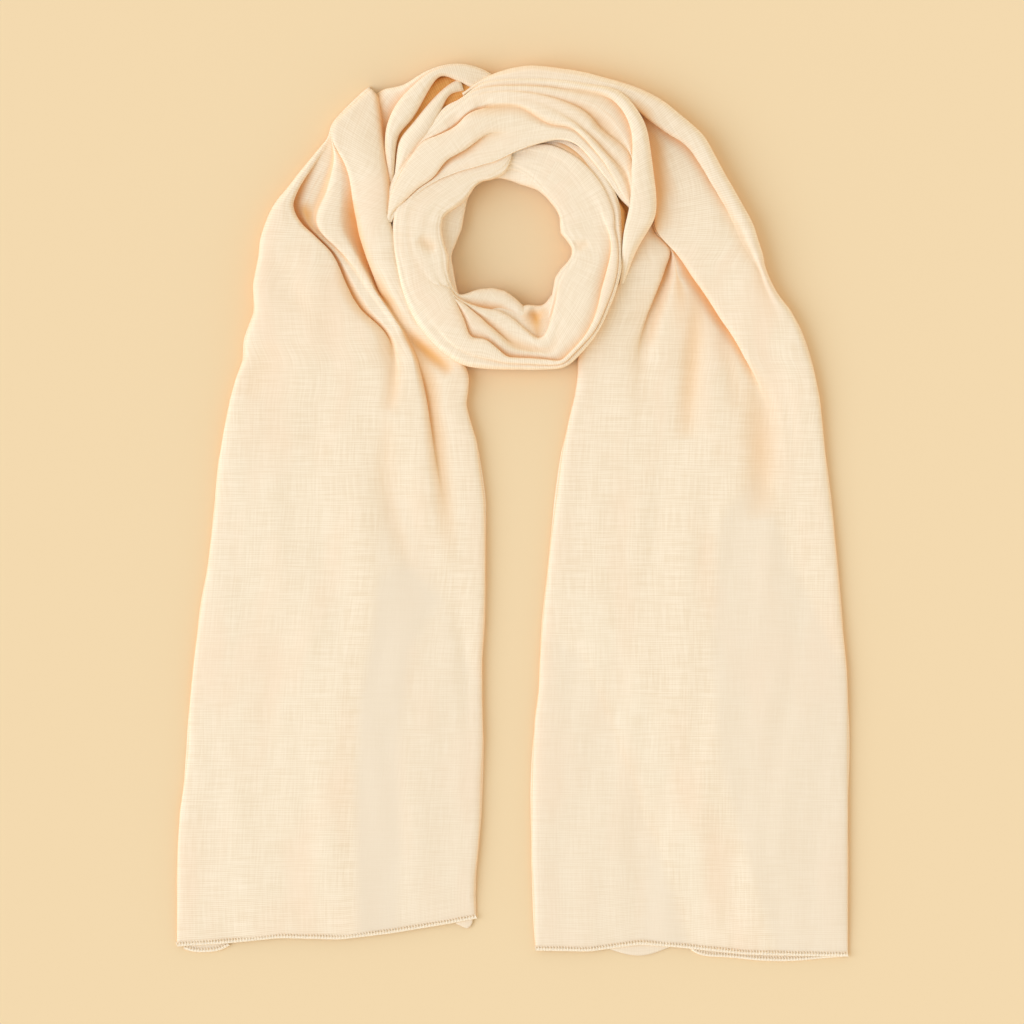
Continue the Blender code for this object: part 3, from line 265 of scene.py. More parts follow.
BAND = Strip(
    side=0, start=172, sense=-1, first=0, last=236, spacing=(1.35, 1.3),
    lines=(
        # hemmed inner edge
        ((392.5, 218), (401, 211), (412, 200), (419, 192), (425, 188), (432, 184), (440, 180), (455, 174),
         (475, 168.5), (495, 163), (505, 158), (515, 153), (530, 147.5), (545, 143), (556, 140.5),
         (565, 141), (573, 143.5), (580, 148), (589, 158), (597, 168), (603, 176), (611, 187), (618.5, 198),
         (626, 205.5), (632, 210), (633, 222), (629, 237), (627, 250), (626.5, 262), (625, 275), (622, 286),
         (618, 297), (613, 307)),
        # lip of the middle panel
        ((391.5, 214), (400, 206), (408, 199), (416, 191), (421, 187), (430, 181.5), (436, 176), (441, 168),
         (447, 161), (455, 156.5), (465, 151.5), (475, 144.5), (483, 138.5), (489, 135.5), (500, 134.5),
         (515, 134), (530, 134.5), (545, 135.5), (556, 135.5), (566, 137), (575, 141), (583, 147),
         (593, 157), (602, 167), (608, 176), (614, 185.5), (620, 195.5), (627, 205), (633, 210), (634, 222),
         (630, 237), (628, 250), (627, 262), (625.5, 275), (622.5, 286), (618.5, 297), (613.5, 307.3)),
        # lip between the middle and the outer panel
        ((390, 207), (391.5, 196), (396, 185), (400, 177), (405, 168), (410, 160), (416, 152), (421, 144),
         (428, 140.5), (437, 138), (445, 134), (452, 131), (460, 125), (466, 117), (475, 112), (487, 108.5),
         (500, 108), (515, 108), (523, 109.5), (530, 114), (540, 121), (550, 126), (560, 127.5),
         (570, 128.5), (577, 133), (585, 141), (593, 150), (600, 158), (607, 168), (613, 178), (618, 187),
         (623, 196), (628, 205), (634, 210), (635, 222), (631, 237), (629, 250), (628, 262), (626, 275),
         (623, 286), (619, 297), (614, 307.6)),
        # lip of the first panel that dives under the leaf
        ((389.5, 205), (391, 194), (395, 183.5), (399, 175.5), (404, 166.5), (409, 158.5), (415, 150),
         (420, 142), (428, 138), (440, 131), (452, 122), (464, 112), (474, 104), (487, 100), (515, 99.5),
         (540, 106), (560, 115), (575, 124), (585, 133), (597, 144), (603, 151), (609, 157), (616, 164),
         (622, 171), (626, 178), (629, 187), (630.5, 196), (631, 204), (635, 210), (636, 222), (632, 237),
         (630, 250), (628.5, 262), (626.5, 275), (623.5, 286), (619.5, 297), (614.5, 308)),
        # lip of the second panel that dives under the leaf
        ((389, 203), (390.5, 192), (394.5, 182), (398.5, 174), (403.5, 165), (408.5, 157), (414.5, 148.5),
         (419.5, 140.5), (427.5, 136), (438, 126), (450, 114), (463, 104), (474, 97), (487, 94), (515, 93),
         (540, 96), (565, 103), (582, 110), (592, 118), (598, 127), (605, 132.5), (612, 138), (620, 144),
         (626, 150), (631, 158), (633, 170), (634, 185), (634, 200), (636, 210), (637, 222), (633, 237),
         (631, 250), (629, 262), (627, 275), (624, 286), (620, 297.3), (615, 308.3)),
        # soft valley, then inner lip of the leaf
        ((388.5, 201), (390, 190.5), (394, 180.5), (398, 172.5), (403, 163.5), (408, 155.5), (414, 147),
         (419, 139), (426, 134.5), (437, 122), (448, 109), (460, 103), (468, 96.5), (476, 91), (487, 88.5),
         (515, 87.5), (540, 88), (565, 91), (590, 94.5), (604, 97), (612, 101), (619, 107), (624, 114),
         (628, 122), (631, 132), (632.5, 142), (632, 155), (631, 170), (631, 190), (630, 204), (628, 215),
         (625, 226), (623, 237), (622, 250), (622, 262), (621, 275), (619, 286), (616, 297), (611, 307)),
        # outer edge
        ((388, 199), (389.5, 189), (393.5, 179), (397.5, 171), (402.5, 162), (407.5, 154), (413.5, 145.5),
         (418.5, 137.5), (425, 132.5), (433, 124), (440, 113), (446, 106.5), (453, 103.5), (460, 101),
         (467, 95), (475, 88), (487, 82), (515, 79), (540, 79.5), (563, 81), (590, 86), (605, 87.5),
         (617, 91), (626, 97), (634, 107), (639, 114), (643.5, 122), (647, 132), (649, 145), (651, 160),
         (653, 175), (655, 190), (656, 205), (655, 217), (652, 224), (648, 230), (640, 243), (635, 253),
         (630, 265), (626, 276.5), (623.5, 287.5), (619.5, 298), (616, 309)),
    ),
    levels=(
        ((0, 20), (12, 24.5), (50, 26), (78, 26.5), (98, 27), (125, 26.5), (150, 24), (180, 20), (215, 15),
         (236, 6)),
        ((0, 20.5), (12, 27), (50, 29.5), (78, 29), (98, 27.2), (125, 26.8), (150, 24.2), (180, 20.5),
         (215, 15), (236, 6)),
        ((0, 19.5), (12, 22.5), (50, 24.5), (75, 26), (90, 29), (125, 28.8), (150, 27), (180, 21),
         (215, 15), (236, 6)),
        ((0, 19), (12, 22), (50, 24), (75, 25.7), (90, 28.5), (125, 27.5), (145, 25.5), (160, 24),
         (180, 21.5), (215, 15), (236, 6)),
        ((0, 18.5), (12, 21.5), (50, 23.5), (75, 25), (90, 26.5), (125, 25.5), (145, 24), (160, 23),
         (180, 22), (215, 15), (236, 6)),
        ((0, 18), (12, 21), (50, 22.5), (75, 23), (90, 23), (120, 24), (140, 28), (150, 31), (185, 30),
         (215, 25), (215, 15), (236, 6)),
    ),
    valleys=(
        (8.0, 4.5, ((0, 0), (20, 2.4), (50, 3), (70, 2.2), (85, 0), (236, 0))),
        (10.0, 4.5, ((0, 0), (25, 2.2), (55, 3.4), (72, 4), (80, 2.4), (95, 2.2), (125, 1.5), (150, 0),
                     (236, 0))),
        (9.0, 4.5, ((0, 0), (100, 0), (125, 0.6), (135, 1.6), (150, 2), (165, 1.6), (180, 0), (236, 0))),
        (8.0, 4.5, ((0, 0), (112, 0), (128, 3), (140, 2.6), (152, 1.5), (165, 0), (236, 0))),
        (8.0, 4.5, ((0, 0), (100, 0), (118, 1.8), (135, 2.4), (150, 1.2), (165, 0), (236, 0))),
    ),
    feet=(
        ((0, 19), (12, 23), (50, 24), (125, 22), (150, 17), (180, 12), (236, 3)),
        ((0, 17), (20, 17), (55, 14), (75, 10), (100, 13), (140, 12), (236, 3)),
    ),
)

OUTER_LEAF = Strip(
    side=0, start=163, sense=-1, first=0, last=76, spacing=(1.2, 1.3),
    lines=(
        # inner edge
        ((394, 204), (393.5, 196), (394.5, 180), (395, 165), (396, 150), (397, 140), (399, 134), (404, 129),
         (411, 122), (417, 113), (421, 105), (426, 96), (431, 87), (436.5, 77.5), (441, 74.2), (450, 74),
         (457, 72.5), (460, 79), (463.5, 97.5), (472, 92), (485, 87), (495, 86), (505, 85)),
        # bright outer lip
        ((392, 206), (390.5, 196), (389, 180), (387, 165), (385.5, 150), (385.5, 138), (387, 127),
         (392, 114), (399, 102), (408, 92.5), (418, 83), (429, 74), (440, 69), (452, 66), (463, 66),
         (475, 68.5), (487, 73.5), (496, 79), (506, 82)),
        # cloth that runs on to the shoulder
        ((388, 207), (385, 196), (382, 180), (378, 160), (375, 140), (372, 122), (371, 108), (374, 96),
         (380, 89.5), (388, 88), (397, 88), (404, 86), (413, 80), (424, 72.5), (438, 67), (452, 64.2),
         (464, 64.2), (476, 67), (488, 72), (497, 78), (507, 81)),
    ),
    levels=(
        ((0, 15), (10, 20), (25, 24), (45, 25), (60, 22), (76, 13)),
        ((0, 10), (10, 9), (25, 7.5), (33, 8), (45, 18), (60, 18.5), (76, 11)),
    ),
    valleys=((8.0, 4.5, ((0, 1), (20, 2.5), (32, 2), (40, 0.5), (45, 0), (76, 0))),),
    feet=(((0, 12), (30, 12), (76, 8)), ((0, 8), (15, 7), (30, 3), (76, 1))),
)

INNER_LEAF = Strip(
    side=0, start=163, sense=-1, first=0, last=63, spacing=(1.2, 1.2),
    lines=(
        ((392.5, 204), (394, 192), (399, 180), (404, 170), (411, 159), (417, 149), (423, 142), (428, 135.5),
         (432, 129), (436, 121.5), (440, 114.5), (443, 108), (445, 101), (448, 95.5), (452, 92.5),
         (459, 92.5), (462, 92)),
        ((391.5, 201), (393, 190), (395, 178), (396.5, 165), (397.5, 152), (399, 143), (402, 137),
         (408, 130.5), (415, 122.5), (421, 114.5), (428, 106), (436, 97), (443, 90), (451, 84), (457, 80),
         (461, 79)),
    ),
    levels=(((0, 14), (12, 23), (30, 26), (48, 25), (63, 16)),),
    valleys=(),
    feet=(((0, 12), (20, 21), (50, 17), (63, 12)), ((0, 11), (30, 12), (63, 10))),
)

# Cloth that lies under the loop and shows inside the opening and beside the loop's right edge.
UNDER_LOOP = Strip(
    side=0, start=331, sense=1, first=0, last=420, spacing=(1.6, 1.6),
    lines=(
        ((567, 270), (575, 258), (576, 247), (569, 238), (566, 228), (564, 216), (557, 205), (545, 196.5),
         (538, 190.5), (530, 187.5), (520, 184.5), (510, 180.5), (500, 178), (486, 180), (477, 184.5),
         (472, 190), (467, 200), (465, 210), (463, 222), (461, 231), (456, 243), (451, 256), (453, 268),
         (455, 280), (459, 296), (466, 301), (480, 297), (500, 297), (512, 303), (520, 308), (525, 305),
         (531, 305), (542, 306), (546, 303), (551, 296), (557, 288), (563, 279), (569, 269), (574, 262)),
        ((614, 287), (622, 262), (626, 246), (627, 230), (625, 212), (618, 200), (608.5, 186), (600.5, 174),
         (590, 161), (579, 150.5), (565, 141), (550, 138), (530, 145), (510, 152), (480, 166), (440, 180),
         (412, 196), (404, 212), (402, 230), (402, 243), (404, 265), (412, 295), (424, 320), (440, 340),
         (460, 357), (480, 362), (520, 363), (560, 361), (575, 349), (590, 332), (602, 310), (614, 287),
         (622, 264)),
    ),
    levels=(
        ((0, 20), (70, 20.5), (95, 21), (115, 19), (150, 13), (260, 12), (300, 12), (340, 14), (420, 17)),
    ),
    valleys=(),
    feet=(((0, 3), (420, 3)), ((0, 6), (420, 6))),
)

# Lowest cloth of the heap: seen only deep in the gaps between the folds.
HEAP = Strip(
    side=0, start=180, sense=1, first=0, last=414, spacing=(3.0, 3.0),
    lines=(
        ((440, 240), (445, 262), (450, 284), (460, 306), (500, 304), (526, 316), (552, 308), (566, 284),
         (582, 262), (582, 244), (574, 222), (560, 200), (534, 176), (506, 168), (466, 182), (448, 212),
         (440, 240)),
        ((393, 240), (408, 285), (430, 325), (462, 352), (520, 358), (556, 355), (585, 330), (605, 295),
         (613, 270), (622, 262), (640, 232), (650, 205), (648, 160), (640, 128), (625, 108), (600, 96),
         (560, 90), (515, 84), (487, 82), (466, 78), (446, 74), (428, 82), (411, 97), (397, 115),
         (389, 135), (387, 160), (387, 190), (387, 215), (391, 240)),
    ),
    levels=(((0, 9), (130, 9), (240, 11), (330, 13), (352, 16.5), (404, 16.5), (414, 13)),),
    valleys=(),
    feet=(((0, 0.6), (414, 0.6)), ((0, 0.6), (414, 0.6))),
)

# Cloth of more (+) or fewer (-) layers shows paler or greyer through the voile: outlines on the grid and
# strength.
LAYERS = {
    "left_tail": (
        (((378, 545), (372, 640), (360, 700), (356, 800), (358, 950), (490, 950), (490, 700), (462, 650),
          (440, 585), (405, 505), (388, 470)), -0.35),
        (((374, 620), (360, 700), (356, 800), (358, 950), (396, 950), (401, 850), (399, 740), (410, 650),
          (440, 600), (404, 560), (379, 580)), -0.45),
        (((235, 450), (300, 450), (345, 560), (345, 650), (330, 760), (340, 900), (210, 900), (200, 650)),
         0.3),
    ),
    "right_tail": (
        (((566, 585), (598, 600), (640, 680), (672, 780), (702, 860), (726, 950), (694, 950), (668, 870),
          (640, 790), (610, 710), (585, 650)), 0.5),
        (((552, 640), (583, 655), (608, 715), (638, 795), (664, 875), (688, 950), (520, 950), (538, 800),
          (543, 700)), -0.35),
        (((720, 520), (760, 470), (790, 560), (860, 700), (860, 970), (782, 970), (745, 850), (720, 760),
          (712, 660)), -0.55),
        (((655, 810), (672, 850), (704, 960), (640, 960), (648, 880)), -0.35),
    ),
}
LAYER_EDGE = 4.0          # half width of an outline's soft edge, millimetres
# Places that lie deep between other cloth, painted with warm shade: outlines on the grid and strength of the
# painted shade.
SHADE_PAINTED_POCKETS = {
    "under_loop": (
        (((556, 134), (600, 145), (640, 200), (640, 300), (604, 330), (612, 280), (617, 240), (611, 205),
          (597, 180), (578, 158), (560, 146)), 1.0),
        (((529, 313), (534, 312), (543, 312), (541, 324), (538, 336), (531, 324)), 1.0),
        (((524, 316), (531, 313), (545, 313), (543, 324), (538, 336), (530, 326)), 0.6),
    ),
    "outer_leaf": ((((374, 88), (379, 90), (382, 110), (384, 150), (390, 210), (380, 210), (370, 120)),
                    1.0),),
    "right_tail": ((((636, 104), (648, 112), (662, 145), (667, 190), (660, 228), (652, 236), (648, 190),
                     (642, 140)), 0.7),),
    "left_tail": ((((375, 92), (386, 90), (390, 140), (396, 200), (391, 205), (385, 150), (379, 110)), 0.8),
                  (((296, 206), (306, 204), (314, 212), (312, 222), (318, 232), (306, 226)), 0.9),
                  (((346, 214), (353, 204), (362, 240), (372, 270), (377, 287), (362, 264)), 1.0)),
}

STRIPS = {
    "left_tail": LEFT_TAIL,
    "right_tail": RIGHT_TAIL,
    "inner_loop": INNER_LOOP,
    "band": BAND,
    "outer_leaf": OUTER_LEAF,
    "inner_leaf": INNER_LEAF,
    "under_loop": UNDER_LOOP,
    "loop_layers": HEAP,
}

# Layers under a tail: their edges wander a little past the edges of the tail's cloth on top.
UNDER_LEVELS = ((-520, 1.2), (-480, 2.2), (-100, 2.4), (300, 2.4))
UNDER_FEET = ((-520, 0.4), (300, 0.4))
UNDER_LAST = 150          # course that they end at
UNDER_SPACING = (3.0, 4.0)
WANDER = 1.0
WANDER_MEAN = 0.35        # how far an edge stands out on the whole, for a wander of 1
INNER_WANDER = (23.0, 0.0, 61.0, 1.0)    # length and start of the two waves along an edge
OUTER_WANDER = (19.0, 2.0, 71.0, 0.0)

# The rolled hems at the ends of the tails, on the grid.
HEMS = {
    "left_tail_hem": ((177, 945.5), (190, 944.5), (225, 942.5), (280, 937), (340, 938.5), (390, 932.5),
                      (450, 922.5), (476, 917.5)),
    "right_tail_hem": ((536, 949.5), (590, 950.5), (625, 945.5), (640, 943.5), (680, 946.5), (745, 953.5),
                       (800, 955), (848, 955.5)),
}
HEM_LAP = 1.2             # squares from the line that a tail's cloth ends on down to its hem
HEM_LINES = {
    name.removesuffix("_hem"): [(right, down - HEM_LAP) for right, down in drawn]
    for name, drawn in HEMS.items()
}
HEM_FADE = 90.0           # millimetres of course over which the cloth is drawn to that line
# The ends of lower layers below the hems, and whether a stitched hem shows there.
UNDER_HEMS = {
    "left_under_hem": (((184, 948), (190, 950.5), (201, 951.5), (212, 951), (222, 949), (228, 945)), True),
    "right_middle_hem": (((608, 949), (618, 952.5), (629, 955.5), (641, 956.5), (652, 954.5), (663, 950.5),
                          (674, 946)), False),
    "right_under_hem": (((692, 949), (697, 953), (706, 955.5), (730, 956.5), (758, 959.5), (780, 960.5),
                         (802, 959.5), (822, 957.5), (842, 956)), True),
}
# A corner of a lower layer that curls out at the end of the left hem.
CORNER = ((456, 924), (460, 926), (464, 927.5), (467, 931), (469, 930), (472.5, 923))

# Sizes of the hems, millimetres
HEM_HEIGHT = 2.9          # middle of the roll above the surface
HEM_RADIUS = 1.15
UNDER_HEM_HEIGHT = 1.1
CORNER_HEIGHT = 1.6
UNDER_HEM_DEPTH = 12.0    # how far the end of a lower layer reaches in under the cloth
UNDER_HEM_ARCH = 0.5      # how far it arches up on the way
UNDER_HEM_POINTS = 9
UNDER_HEM_LAYERS = -0.5   # fewer layers lie there than under a tail, as in LAYERS
ROLL_STEP = 2.0           # between the points of a roll
ROLL_SMOOTH = 3.0         # rounding of its drawn line
ROLL_SIDES = 8
# One overlock stitch over the roll: along the hem, into the cloth, up.
STITCH = ((-0.55, 2.3, 0.75), (-0.3, 1.3, 1.15), (0.0, 0.1, 1.15), (0.25, -0.85, 0.65), (0.35, -1.1, -0.1))
STITCH_RADIUS = 0.36

# Control points of a strip that lie on top of its inner and of its outer edge.
INNER_EDGE = 3
OUTER_EDGE = -4
# Fine overlock seams on the selvedges that show at the loop: strip, edge, first and last course.
SEAMS = {
    "band_seam": ("band", INNER_EDGE, 4, 104),
    "loop_seam": ("inner_loop", OUTER_EDGE, 205, 384),
    "under_loop_seam": ("under_loop", INNER_EDGE, 318, 352),
}
SEAM_SCALE = 0.45         # size of a seam beside a hem

# Small creases, by strip.
CREASES = {
    "left_tail": (
        Crease(((262, 340), (258, 370), (248, 400)), 8.0, 1.2),
        Crease(((388, 420), (384, 470), (393, 520), (412, 570)), 5.0, 1.3),
        Crease(((355, 420), (352, 520), (360, 640)), 8.0, -0.9),
        Crease(((275, 250), (290, 290), (330, 330)), 7.0, 1.0),
        Crease(((322, 360), (318, 430), (326, 500)), 7.0, 0.8),
        Crease(((450, 560), (462, 640), (470, 720)), 5.0, 0.8),
        Crease(((285, 300), (300, 350), (305, 400)), 12.0, -1.0),
        Crease(((384, 334), (395, 352), (394, 375), (389, 412)), 4.0, 1.9),
        Crease(((404, 329), (415, 341), (430, 354), (452, 372)), 3.6, 4.8),
    ),
    "right_tail": (
        Crease(((697, 282), (696, 310), (693, 345), (688, 400), (686, 440)), 5.0, 2.2),
        Crease(((671, 250), (668, 275), (660, 300), (652, 325), (645, 350)), 3.4, 2.2),
        Crease(((722, 330), (730, 360), (736, 390), (739, 415)), 4.5, 1.4),
        Crease(((750, 372), (757, 410), (760, 450), (762, 520)), 8.0, 1.9),
        Crease(((712, 360), (716, 420), (714, 500)), 6.0, -0.8),
        Crease(((622, 400), (612, 520), (606, 640)), 9.0, 0.8),
        Crease(((560, 560), (590, 660), (630, 760), (668, 850)), 9.0, -0.8),
        Crease(((650, 285), (645, 320), (641, 370)), 6.0, 1.2),
        Crease(((740, 400), (742, 440), (741, 500)), 6.0, -0.8),
    ),
    "inner_loop": (
        Crease(((419, 238), (428, 246), (436, 250)), 3.0, 1.8),
        Crease(((573, 243), (580, 247), (588, 243)), 2.2, 1.5),
    ),
    "under_loop": (Crease(((530, 312), (535, 316), (538, 322)), 3.0, 4.0),),
    "band": (
        Crease(((594, 120), (603, 127), (612, 133)), 3.5, 1.8),
        Crease(((447, 128), (453, 125), (462, 119)), 3.0, 1.2),
        Crease(((474, 110), (482, 105), (492, 106)), 2.2, 1.0),
    ),
}
# Creases deeper than CREASE_PLAIN are painted in shade along their line.
CREASE_PLAIN = 0.8        # creases up to this depth stay unshaded
CREASE_PAINTED_SHADE = 0.3        # shade for each millimetre of a crease beyond that

# Soft waves of the tails' cloth, millimetres: length along, length across, turn in degrees, height
WAVES = {
    "left_tail": ((310, 62, 12, 0.55), (170, 34, -9, 0.3), (95, 150, 40, 0.3), (240, 21, 4, 0.12)),
    "right_tail": ((280, 58, -14, 0.55), (190, 31, -4, 0.32), (110, 140, 60, 0.3), (260, 19, -8, 0.13)),
}
WAVE_FADE = 40.0          # distance from a tail's edge over which they begin
WAVE_BEND = 0.9           # how far a wave snakes, in radians
WAVE_START = 1.7          # by which the next wave's snaking starts later
WAVE_EVEN = 0.6           # share of a wave's height that is the same all along it
WAVE_SWELL = 0.7          # length of its swelling beside the length along

# Shape of folds and edges, millimetres
SOFT_REACH = 3.0          # half width of a fold that is only a soft step
SOFT_STEP = 0.8           # a step up to this height is soft
FULL_STEP = 3.2           # and from this height on the cloth folds over itself
LEAD = 6.0                # length over which a panel bends into its fold
EDGE_TUCK = 3.0           # how far an edge turns in under its cloth
EDGE_ROUND = 3.0
PUFF_RATE = 0.03          # rise of a panel's middle for each millimetre of its width
PUFF_MOST = 1.2
LEAST_WIDTH = 0.3         # of a panel
LEAST_LEAD = 0.05
LINE_SMOOTH = 2.2         # rounding of the drawn lines along the course
LEVEL_SMOOTH = 9.0        # and of heights and depths
# Most that a fold takes of the narrower panel beside it, or of its own panel's width
LAP_SHARE = 0.4
SOFT_SHARE = 0.12
LEAD_SHARE = 0.44
# Control points of a fold: places in soft widths from its line, then shares of its sinking, step and painted
# shade
TURN_PLACE = 0.8
FLANK_PLACE = 1.6
TOP_SINK = 0.15           # the panel on top sinks by this share of the covered one
LEAN = 0.3
LEAD_SINK = 0.45
FLANK_SINK = 0.88
FOOT_RISE = 0.02
LIP_RISE = 0.1
TURN_RISE = 0.28
FLANK_SHADE = 0.85
LIP_SHADE = 0.1
LEAD_IN = 1               # which of its control points lie halfway along its leads
LEAD_OUT = 7
# Shade painted into a fold: the height and the depth that paint it in full, and the most that a step alone
# gives
SHADE_STEP = 8.0
SHADE_DEPTH = 5.0
STEP_SHADE = 0.5
# How far the painted shade spreads on the leads: least, growth, depth where that begins, and over how much
# depth
SPREAD = (0.25, 0.35, 1.5, 3.5)
# Most that the rounding and the tuck of an edge take of its panel's width and of its rise
ROUND_WIDTH = 0.3
ROUND_RISE = 0.6
TUCK_WIDTH = 0.4
# An edge above its tuck: share of its rounding inwards, share of its rise, painted shade
EDGE_PROFILE = ((0.3, 0.06, 0.9), (0.0, 0.45, 0.5), (0.25, 0.78, 0.0), (1.0, 0.95, 0.0))
LEAST_SPAN = 1e-3
TINY = 1e-9

# The voile: colours in sRGB
THIN_VOILE = "F0DFC5"     # where fewer layers lie under it
DENSE_VOILE = "FFF4DC"    # where more layers do
SLUB_STRETCH = 0.05       # the slubs are drawn out along their thread by this
SLUBS = 1.1               # slubs to a thread's spacing
THREAD_SHARE = 0.5        # how much the rows of threads tell beside the slubs
THREAD_RANGE = (0.9, 1.6)
THREAD_RELIEF = 0.3 * MM
PATCHES = 12.0            # warm patches to a metre, before they are drawn out
PATCH_STRETCH = (2.0, 0.7, 1.0)
PATCH_RANGE = (0.48, 0.68)
PATCH_MOST = 0.45
DENSE_SHARE = 0.35
FLECKS = 0.9 / MM         # flecks of the sewing thread's fibres to a metre

# The stage, metres; the colours of its light are linear
SURFACE_SIZE = 12.0
SKY_COLOUR = (1.04, 0.985, 0.88, 1.0)
SKY_LOW = 2.0             # strength near the horizon, beside the setting's
SKY_HIGH = 0.5            # and straight above
LAMP_COLOUR = (0.88, 1.045, 1.36)
LAMP_ANGLE = math.radians(50.0)
LAMP_PLACE = (-1.6, -0.2, 1.4)
CAMERA_HEIGHT = 5.0
TRUE_HEIGHT = 0.008       # height at which the grid's squares show in their true size
SENSOR = 36.0             # millimetres
VIEW_END = 50.0


# ------------------------------------------------------------------------------------------------ colours
def srgb(hexadecimal):
    """The sRGB values, from 0 to 1, of a colour written as six hexadecimal digits."""
    return [int(hexadecimal[i:i + 2], 16) / 255 for i in (0, 2, 4)]


def linear(colour):
    """Linear RGBA of an sRGB colour, written as six hexadecimal digits or given as three values."""
    values = srgb(colour) if isinstance(colour, str) else colour
    return [v / 12.92 if v <= 0.04045 else ((v + 0.055) / 1.055) ** 2.4 for v in values] + [1.0]


# ------------------------------------------------------------------------------------------------ settings
class LongScarfSettings(bpy.types.PropertyGroup):
    wall: FloatProperty(name="Cloth thickness", description="Thickness of the modelled voile",
                        default=0.0006, unit="LENGTH")
    thread_gap: FloatProperty(name="Thread spacing", description="Distance between threads of the weave",
                              default=0.0013, unit="LENGTH")
    stitch_gap: FloatProperty(name="Stitch spacing", description="Distance between overlock stitches",
                              default=0.0021, unit="LENGTH")
    stitch_sides: IntProperty(name="Stitch sides", description="Faces round a stitch", default=4)
    voile: FloatVectorProperty(name="Voile", description="Colour of the cloth's threads (sRGB)",
                               subtype="COLOR_GAMMA", default=srgb("FDECD1"))
    floor: FloatVectorProperty(name="Surface", description="Colour of the surface (sRGB)",
                               subtype="COLOR_GAMMA", default=srgb("F2D8AD"))
    lamp_power: FloatProperty(name="Lamp strength", description="Strength of the soft lamp", default=1.25)
    sky: FloatProperty(name="Sky light", description="Strength of the light from all round", default=0.76)


# ------------------------------------------------------------------------------------------------ strips
def from_pivot(drawn):
    """Right and up from the pivot, in millimetres, of one point or of points drawn on the grid."""
    right, down = np.array(drawn, dtype=float).T
    return np.stack([(right - PIVOT_SQUARE[0]) * SQUARE, (PIVOT_SQUARE[1] - down) * SQUARE], axis=-1)


def to_frame(drawn):
    """Places in the frame, in millimetres, of one point or of points drawn on the grid."""
    return from_pivot(drawn) + PIVOT


def line_on_course(strip, drawn):
    """A drawn line as two arrays: course and reach, both in millimetres."""
    right, up = from_pivot(drawn).T
    reach = np.hypot(right, up)
    turn = np.degrees(np.arctan2(up, right))
    if strip.side:
        turn = np.where(turn < -90.0, turn + 360.0, turn)
        on_leg = up < 0.0
        course = np.where(on_leg, up, (turn - strip.start) * strip.sense * TURN_LENGTH)
        reach = np.where(on_leg, right * strip.side, reach)
    else:
        turn = np.degrees(np.unwrap(np.radians(turn)))
        turn += 360.0 * np.round((strip.start - turn[0]) / 360.0)
        course = (turn - strip.start) * strip.sense * LOOP_LENGTH
    order = np.argsort(course, kind="stable")
    return course[order], reach[order]


def place(strip, course, reach):
    """Right and up, in millimetres of the frame, of places on a strip."""
    if strip.side:
        turn = np.radians(strip.start + strip.sense * np.maximum(course, 0.0) / TURN_LENGTH)
        up_leg = np.minimum(course, 0.0)
    else:
        turn = np.radians(strip.start + strip.sense * course / LOOP_LENGTH)
        up_leg = 0.0
    return PIVOT[0] + reach * np.cos(turn), PIVOT[1] + (reach * np.sin(turn) + up_leg)


def smoothed(values, spacing, width):
    """Values along a course, rounded off over a width."""
    half = int(3 * width / spacing) + 1
    kernel = np.exp(-0.5 * (np.arange(-half, half + 1) * spacing / width) ** 2)
    kernel /= kernel.sum()
    first, last = values[0], values[-1]
    before = 2 * first - values[1:half + 1][::-1]
    after = 2 * last - values[-half - 1:-1][::-1]
    return np.convolve(np.concatenate([before, values, after]), kernel, mode="valid")


def firmness(step):
    """How much a step in height is a real fold: 0 for a soft step, 1 where the cloth folds over itself."""
    return np.clip((np.abs(step) - SOFT_STEP) / (FULL_STEP - SOFT_STEP), 0.0, 1.0)


